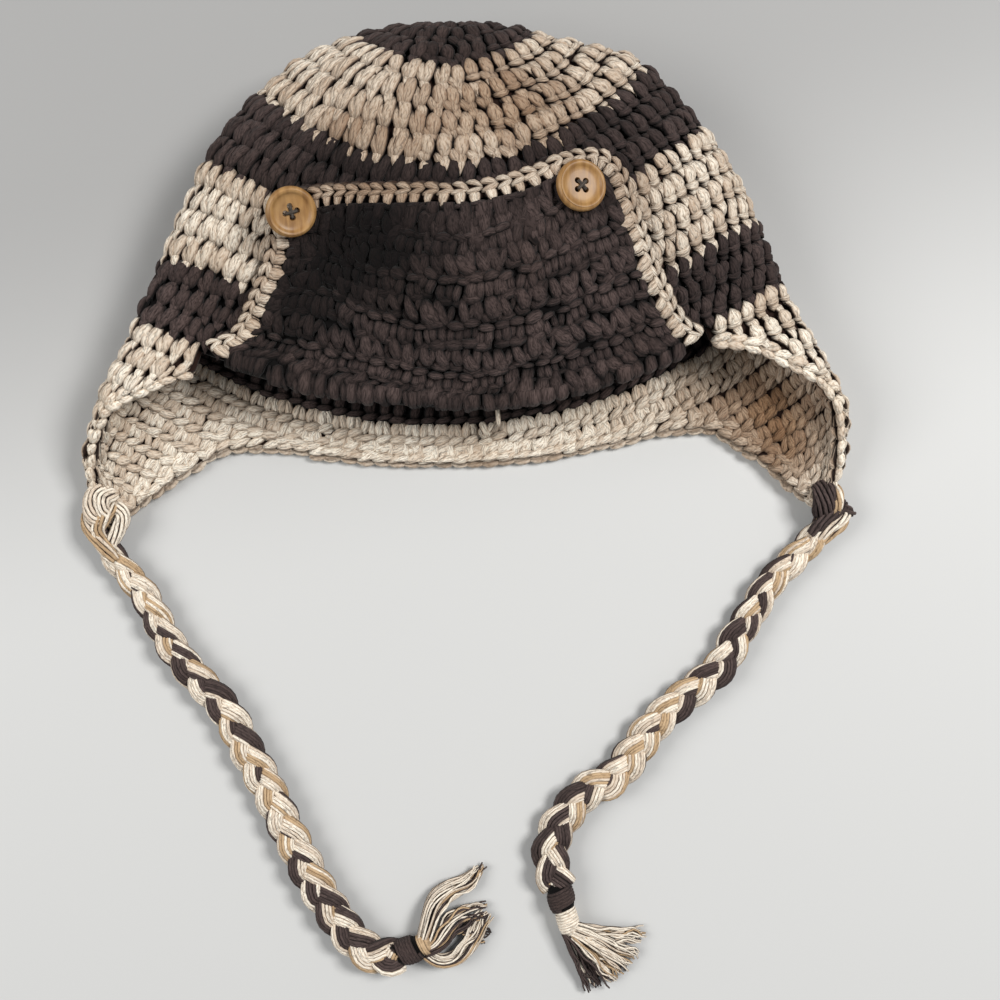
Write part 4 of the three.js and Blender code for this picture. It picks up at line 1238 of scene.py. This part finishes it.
# Loose yarn past each wrap, lock by lock: middle line, half widths of the fan at its start, middle and
# end, dyes, and number of yarns
TASSELS = {
    "left": [
        ([(-15.5, -214.5, 5), (-13.2, -207.0, 6), (-10.6, -199.8, 5), (-6.1, -195.6, 4),
          (-0.2, -193.2, 3), (5.0, -187.6, 2)],
         (1.8, 3.4, 1.6), "cctcdctc", 32),
        ([(-14.5, -215.1, 4.5), (-10.0, -211.9, 5.5), (-6.1, -206.6, 5), (-0.8, -203.2, 4),
          (6.2, -201.6, 2)],
         (1.8, 4.2, 2.8), "ctddcdtd", 36),
        ([(-14.5, -215.8, 4.5), (-9.3, -218.6, 5), (-3.4, -217.4, 4), (0.8, -212.5, 3.5),
          (3.9, -206.4, 3), (6.6, -203.0, 2)],
         (1.8, 2.6, 3.0), "ccccdctc", 32),
        ([(-2.0, -209.5, 3), (2.0, -210.5, 2), (6.8, -212.5, 1.2)],
         (0.6, 1.5, 3.2), "ddct", 7),
    ],
    "right": [
        ([(32.8, -206.6, 5), (38.9, -208.4, 6), (46.8, -210.0, 4), (58.5, -211.0, 1.5)],
         (1.6, 2.4, 2.2), "cctcccdc", 24),
        ([(32.8, -207.4, 4.5), (39.6, -210.2, 6), (46.8, -214.8, 4), (54.6, -219.6, 1.8)],
         (1.6, 2.7, 3.6), "cccctccd", 30),
        ([(32.4, -208.2, 4.5), (37.6, -212.8, 5.5), (43.5, -219.3, 4), (49.4, -225.2, 1.8)],
         (1.6, 2.7, 3.6), "ccttcccd", 30),
        ([(31.8, -208.8, 4.5), (35.0, -215.2, 4.5), (38.3, -222.4, 3), (41.4, -228.6, 1.5)],
         (1.4, 2.0, 2.8), "dddtcddd", 24),
    ],
}
TASSEL_RINGS = 17
# Yarn wound round the start of each tassel: dye and length
TASSEL_NECKS = {"left": (TAN_DYE, 3.2), "right": (CREAM_DYE, 7.6)}


def dress_tassel(side_name):
    """Cut yarns that spread from the wrap, wavy and thinner towards their tips."""
    piece = Piece("tassel_" + side_name, "yarns", "mixed_yarn")
    end, aim = tie_end(side_name)
    start = end + aim * (WRAP_LENGTH + GAP)
    dye_and_shade, neck = TASSEL_NECKS[side_name]
    add_wound(piece, start, aim, neck, NECK_DIAMETER / 2, yarn_radius=0.55, turns=neck / 1.05, lean=0.5,
              dye_and_shade=dye_and_shade)
    core = start + aim * np.linspace(-0.5, neck + 1.0, 5)[:, None]
    core_half = np.array([2.6, 3.0, 3.1, 3.0, 2.2])
    piece.add_tubes(core, core_half, core_half, sides=12, tones=0.6, dye_and_shades=dye_and_shade)
    t = np.linspace(0, 1, TASSEL_RINGS)
    height = np.interp(t, [0, 0.35, 1], [2.0, 1.9, 0.9])
    radius = np.interp(t, [0, 0.7, 1], [0.46, 0.42, 0.28])
    for points, fans, dye_and_shades, yarns in TASSELS[side_name]:
        middle = by_length(curve_at(points, np.linspace(0, 1, 60)), TASSEL_RINGS)
        side, up = lying_frame(middle)
        fan = np.interp(t, [0, 0.5, 1], fans)
        for _ in range(yarns):
            spread, rise = random.uniform(-1, 1, 2)
            reach = random.uniform(0.86, 1.0)
            wave = random.normal(0, 1, 4)
            swings = wave[0] * np.sin(11 * t + 3 * wave[1]) + wave[2] * np.sin(19 * t + 3 * wave[3])
            waver = 0.55 * t * swings
            yarn = middle + side * (spread * fan + waver)[:, None] + up * (rise * height)[:, None]
            yarn = np.stack([np.interp(t * reach, t, yarn[:, k]) for k in range(3)], -1)
            yarn[:, 2] = np.maximum(yarn[:, 2], LOWEST)
            choice = int((spread + 1) / 2 * len(dye_and_shades) + random.normal(0, 0.7)) % len(dye_and_shades)
            piece.add_tubes(yarn, radius, radius, 5, random.random(), DYES[dye_and_shades[choice]])
    return piece.build()


# Bundles that each knot is made of: middle line, half width and half thickness, and dyes
KNOTS = {
    "left": [
        ([(-115.0, -64.2, 6), (-119.8, -65.6, 8.6), (-121.6, -70.0, 9.2), (-120.4, -74.0, 9.2),
          (-117.0, -76.0, 8.0)],
         (2.3, 1.9), "cccccccccc"),
        ([(-113.6, -66.5, 7.5), (-116.8, -67.6, 9.8), (-117.6, -71.0, 10.2), (-116.4, -74.6, 8.6)],
         (1.9, 1.5), "cccccccc"),
        ([(-114.6, -69.4, 7.5), (-117.2, -74.0, 9.8), (-119.4, -78.5, 9.0), (-117.6, -84.0, 7)],
         (1.9, 1.2), "ttcttttc"),
        ([(-123.0, -71.4, 5), (-122.8, -76.2, 8.0), (-118.2, -82.8, 8.5), (-114.4, -88.0, 7.5)],
         (1.9, 1.2), "tctttcct"),
        ([(-114.2, -69.6, 7), (-111.6, -73.4, 8.0), (-113.2, -78.0, 7.6), (-117.4, -84.4, 6)],
         (2.0, 1.3), "cccccccc"),
        ([(-119.5, -72.0, 4), (-119.0, -78.0, 4.5), (-116.6, -84.5, 4.6)],
         (3.0, 2.4), "ddtdcddt"),
    ],
    "right": [
        ([(114.6, -63.2, 6.5), (114.5, -65.6, 10.2), (114.6, -69.8, 10.4), (114.4, -73.6, 6.5)],
         (3.3, 2.0), "dddddddddddd"),
        ([(118.2, -63.8, 6.5), (118.8, -67.2, 9.8), (118.4, -70.8, 9.6), (116.6, -74.4, 6.2)],
         (1.7, 1.4), "ttcttttt"),
        ([(122.0, -69.2, 6.0), (118.6, -72.2, 9.4), (114.6, -75.2, 9.2), (111.0, -79.4, 6.6)],
         (1.5, 1.1), "dddtdd"),
        ([(123.4, -71.2, 5.6), (120.4, -74.6, 8.4), (116.2, -77.6, 8.2), (112.4, -81.4, 6.4)],
         (1.6, 1.1), "cccccc"),
        ([(122.6, -74.2, 5.0), (120.2, -77.2, 7.0), (117.0, -79.6, 6.8), (113.6, -82.6, 5.8)],
         (1.3, 1.0), "ttttt"),
        ([(121.4, -70.6, 7.6), (123.2, -71.8, 7.8), (124.8, -72.8, 6.4)],
         (0.8, 0.8), "ddd"),
        ([(117.5, -68.0, 5), (116.4, -74.0, 5), (114.4, -79.5, 4.8)],
         (3.4, 2.6), "ddtdcddt"),
    ],
}


def dress_knot(side_name):
    """Bundles of yarn drawn through the flap's tip and gathered into the plait."""
    piece = Piece("tie_knot_" + side_name, "yarns", "mixed_yarn")
    t = np.linspace(0, 1, 22)
    ends = np.interp(t, [0, 0.12, 0.85, 1], [0.6, 1.0, 1.0, 0.7])
    for points, (wide, thick), dye_and_shades in KNOTS[side_name]:
        add_bundle(piece, curve_at(points, t), wide * ends, thick * ends, dye_and_shades, rounds=0.35, sides=6)
    return piece.build()


# Buttons

def button_matrix(button):
    """Where a button's back lies and which way it faces, in metres."""
    along = np.array([button["along"]], float)
    around = np.array([button["around"]], float)
    normal = Vector(outward_normal(cloth, along, around)[0])
    lean = math.radians(button["lean"])
    facing = Matrix.Rotation(lean, 3, "Y") @ normal
    clearance = GAP + abs(math.sin(lean)) * BUTTON_DIAMETER * 0.4
    base = Vector(cloth_place(along, around, np.array([PANEL_LIFT + PANEL_WALL / 2]))[0])
    place = (base + normal * clearance) * MM
    turn = Vector((0, 0, 1)).rotation_difference(facing).to_matrix().to_4x4()
    return Matrix.Translation(place) @ turn @ Matrix.Rotation(math.radians(button["turn"]), 4, "Z")


def turned(name, profile, segments):
    """A closed body turned about Z from (radius, height) points that start and end on the axis."""
    points = [Vector((0, 0, profile[0][1])), Vector((0, 0, profile[-1][1]))]
    faces = []
    rings = profile[1:-1]
    for radius, height in rings:
        for k in range(segments):
            angle = 2 * math.pi * k / segments
            points.append(Vector((radius * math.cos(angle), radius * math.sin(angle), height)))

    def corner(i, k):
        return 2 + i * segments + k % segments

    for k in range(segments):
        faces.append((0, corner(0, k + 1), corner(0, k)))
        faces.append((1, corner(len(rings) - 1, k), corner(len(rings) - 1, k + 1)))
        for i in range(len(rings) - 1):
            faces.append((corner(i, k), corner(i, k + 1), corner(i + 1, k + 1), corner(i + 1, k)))
    mesh = bpy.data.meshes.new(name)
    mesh.from_pydata([p * MM for p in points], [], faces)
    mesh.update()
    return linked(name, mesh)


def button_profile():
    """Back, rounded edge, raised rim and dished face, from the axis and back to it."""
    r, t = BUTTON_DIAMETER / 2, BUTTON_THICKNESS
    outline = [(0, 0), (r * 0.72, 0)]
    for k in range(9):
        angle = math.radians(-80 + 160 * k / 8)
        outline.append((r - 1.1 + 1.1 * math.cos(angle), t * 0.48 + t * 0.45 * math.sin(angle)))
    outline += [(r * 0.87, t), (r * 0.82, t * 0.99), (r * 0.775, t * 0.93), (r * 0.73, t * 0.80),
                (r * 0.68, t * 0.72), (r * 0.55, t * 0.67), (r * 0.35, t * 0.645), (0, t * 0.64)]
    return outline


def dress_button(side_name):
    """A turned wooden button with four drilled holes."""
    body = turned("turned", button_profile(), 96)
    r, t = BUTTON_HOLE / 2, BUTTON_THICKNESS
    outline = [(0, -1), (r, -1), (r, t * 0.58), (r + 0.16, t * 0.68), (r + 0.16, t + 1), (0, t + 1)]
    drills = []
    for x, y in ((1, 1), (-1, 1), (-1, -1), (1, -1)):
        drill = turned("drill", outline, 24)
        drill.data.transform(Matrix.Translation((x * HOLE_REACH * MM, y * HOLE_REACH * MM, 0)))
        drills.append(drill)
        cut = body.modifiers.new("hole", "BOOLEAN")
        cut.operation = "DIFFERENCE"
        cut.solver = "EXACT"
        cut.object = drill
    bpy.context.view_layer.update()
    shape = body.evaluated_get(bpy.context.evaluated_depsgraph_get())
    mesh = bpy.data.meshes.new_from_object(shape)
    mesh.name = f"button_{side_name}_wood"
    mesh.transform(button_matrix(BUTTONS[side_name]))
    for thing in [*drills, body]:
        bpy.data.objects.remove(thing)
    mesh.polygons.foreach_set("use_smooth", np.ones(len(mesh.polygons), bool))
    mesh.set_sharp_from_angle(angle=math.radians(38))
    return placed(mesh, "button_wood", f"button_{side_name}")


def dress_button_thread(side_name):
    """Dark thread crossed over the button's face and down through its four holes."""
    piece = Piece("button_thread_" + side_name, "plies", "dark_thread")
    matrix = np.array(button_matrix(BUTTONS[side_name]))
    face = BUTTON_THICKNESS * 0.66
    t = np.linspace(0, 1, 25)
    s = 2 * t - 1
    out = np.clip(1 - np.abs(s), 0, 0.25) / 0.25
    reach = HOLE_REACH * np.clip(s * 1.32, -0.94, 0.94)
    rise = np.where(np.abs(s) > 0.7, (0.7 - np.abs(s)) / 0.3 * (face - 0.3), 0.0)
    for way in (1, -1):
        for j in range(4):
            turn = 2 * np.pi * j / 4
            offset = 0.25 * np.cos(turn)
            height = 0.22 * np.sin(turn) + (0.22 if way > 0 else 0.0)
            bow = 0.42 * np.minimum(out, 1) + height
            x = reach + offset * 0.7071
            y = way * reach - way * offset * 0.7071
            line = np.stack([x, y, face + np.maximum(bow, 0.1) + rise], -1)
            line = line @ matrix[:3, :3].T + matrix[:3, 3] / MM
            piece.add_tubes(line, THREAD_RADIUS, THREAD_RADIUS, sides=7, tones=random.random(),
                            ups=matrix[:3, 2])
    return piece.build()


# Camera, floor and light

def make_camera():
    data = bpy.data.cameras.new("camera")
    data.sensor_fit = "HORIZONTAL"
    data.sensor_width = SENSOR
    data.lens = SENSOR * FOCAL_SHARE
    data.clip_start = 0.01
    camera = linked("camera", data)
    camera.location = Vector(CAMERA_AT) * MM
    bpy.context.scene.camera = camera


def make_floor():
    """A pale surface with painted shade that greys it towards the picture's top and left."""
    mesh = bpy.data.meshes.new("floor")
    corners = [(x * FLOOR_HALF, y * FLOOR_HALF, 0) for x, y in ((-1, -1), (1, -1), (1, 1), (-1, 1))]
    mesh.from_pydata(corners, [], [(0, 1, 2, 3)])
    floor = linked("floor", mesh)
    finish = Finish("floor")
    x, y = finish.split(finish.place())
    # Painted shade: the floor darkens towards +Y and a little towards -X
    away = (y - x * 0.22).between(-0.09, 0.07)
    finish.surface(finish.mix(away, (0.60, 0.605, 0.60, 1), (0.355, 0.355, 0.353, 1)), 0.6)
    mesh.materials.append(finish.material)


def make_light():
    for name, at, size, power, colour in LIGHTS:
        data = bpy.data.lights.new(name, "AREA")
        data.shape = "SQUARE"
        data.size = size
        data.energy = power
        data.color = colour
        lamp = linked(name, data)
        lamp.location = at
        lamp.rotation_euler = (Vector(LIGHTS_AIM) - Vector(at)).to_track_quat("-Z", "Y").to_euler()
    world = bpy.data.worlds.new("room")
    world.use_nodes = True
    background = world.node_tree.nodes["Background"]
    background.inputs["Color"].default_value = (0.95, 0.97, 1.0, 1)
    background.inputs["Strength"].default_value = 0.22
    bpy.context.scene.world = world
    bpy.context.scene.view_settings.view_transform = "Standard"


make_camera()
make_floor()
make_light()

for side_name in ("left", "right"):
    braid, line, length = dress_braid(side_name)
    knot = dress_knot(side_name)
    wrap = dress_wrap(side_name)
    tassel = dress_tassel(side_name)

row = 0
for name, start, end, rows, yarn in STRIPES:
    dress_stripe(name, start, end, rows, yarn, row)
    row += rows
dress_rim()
dress_panel()
dress_edging()
for side_name in ("left", "right"):
    dress_button(side_name)
    dress_button_thread(side_name)
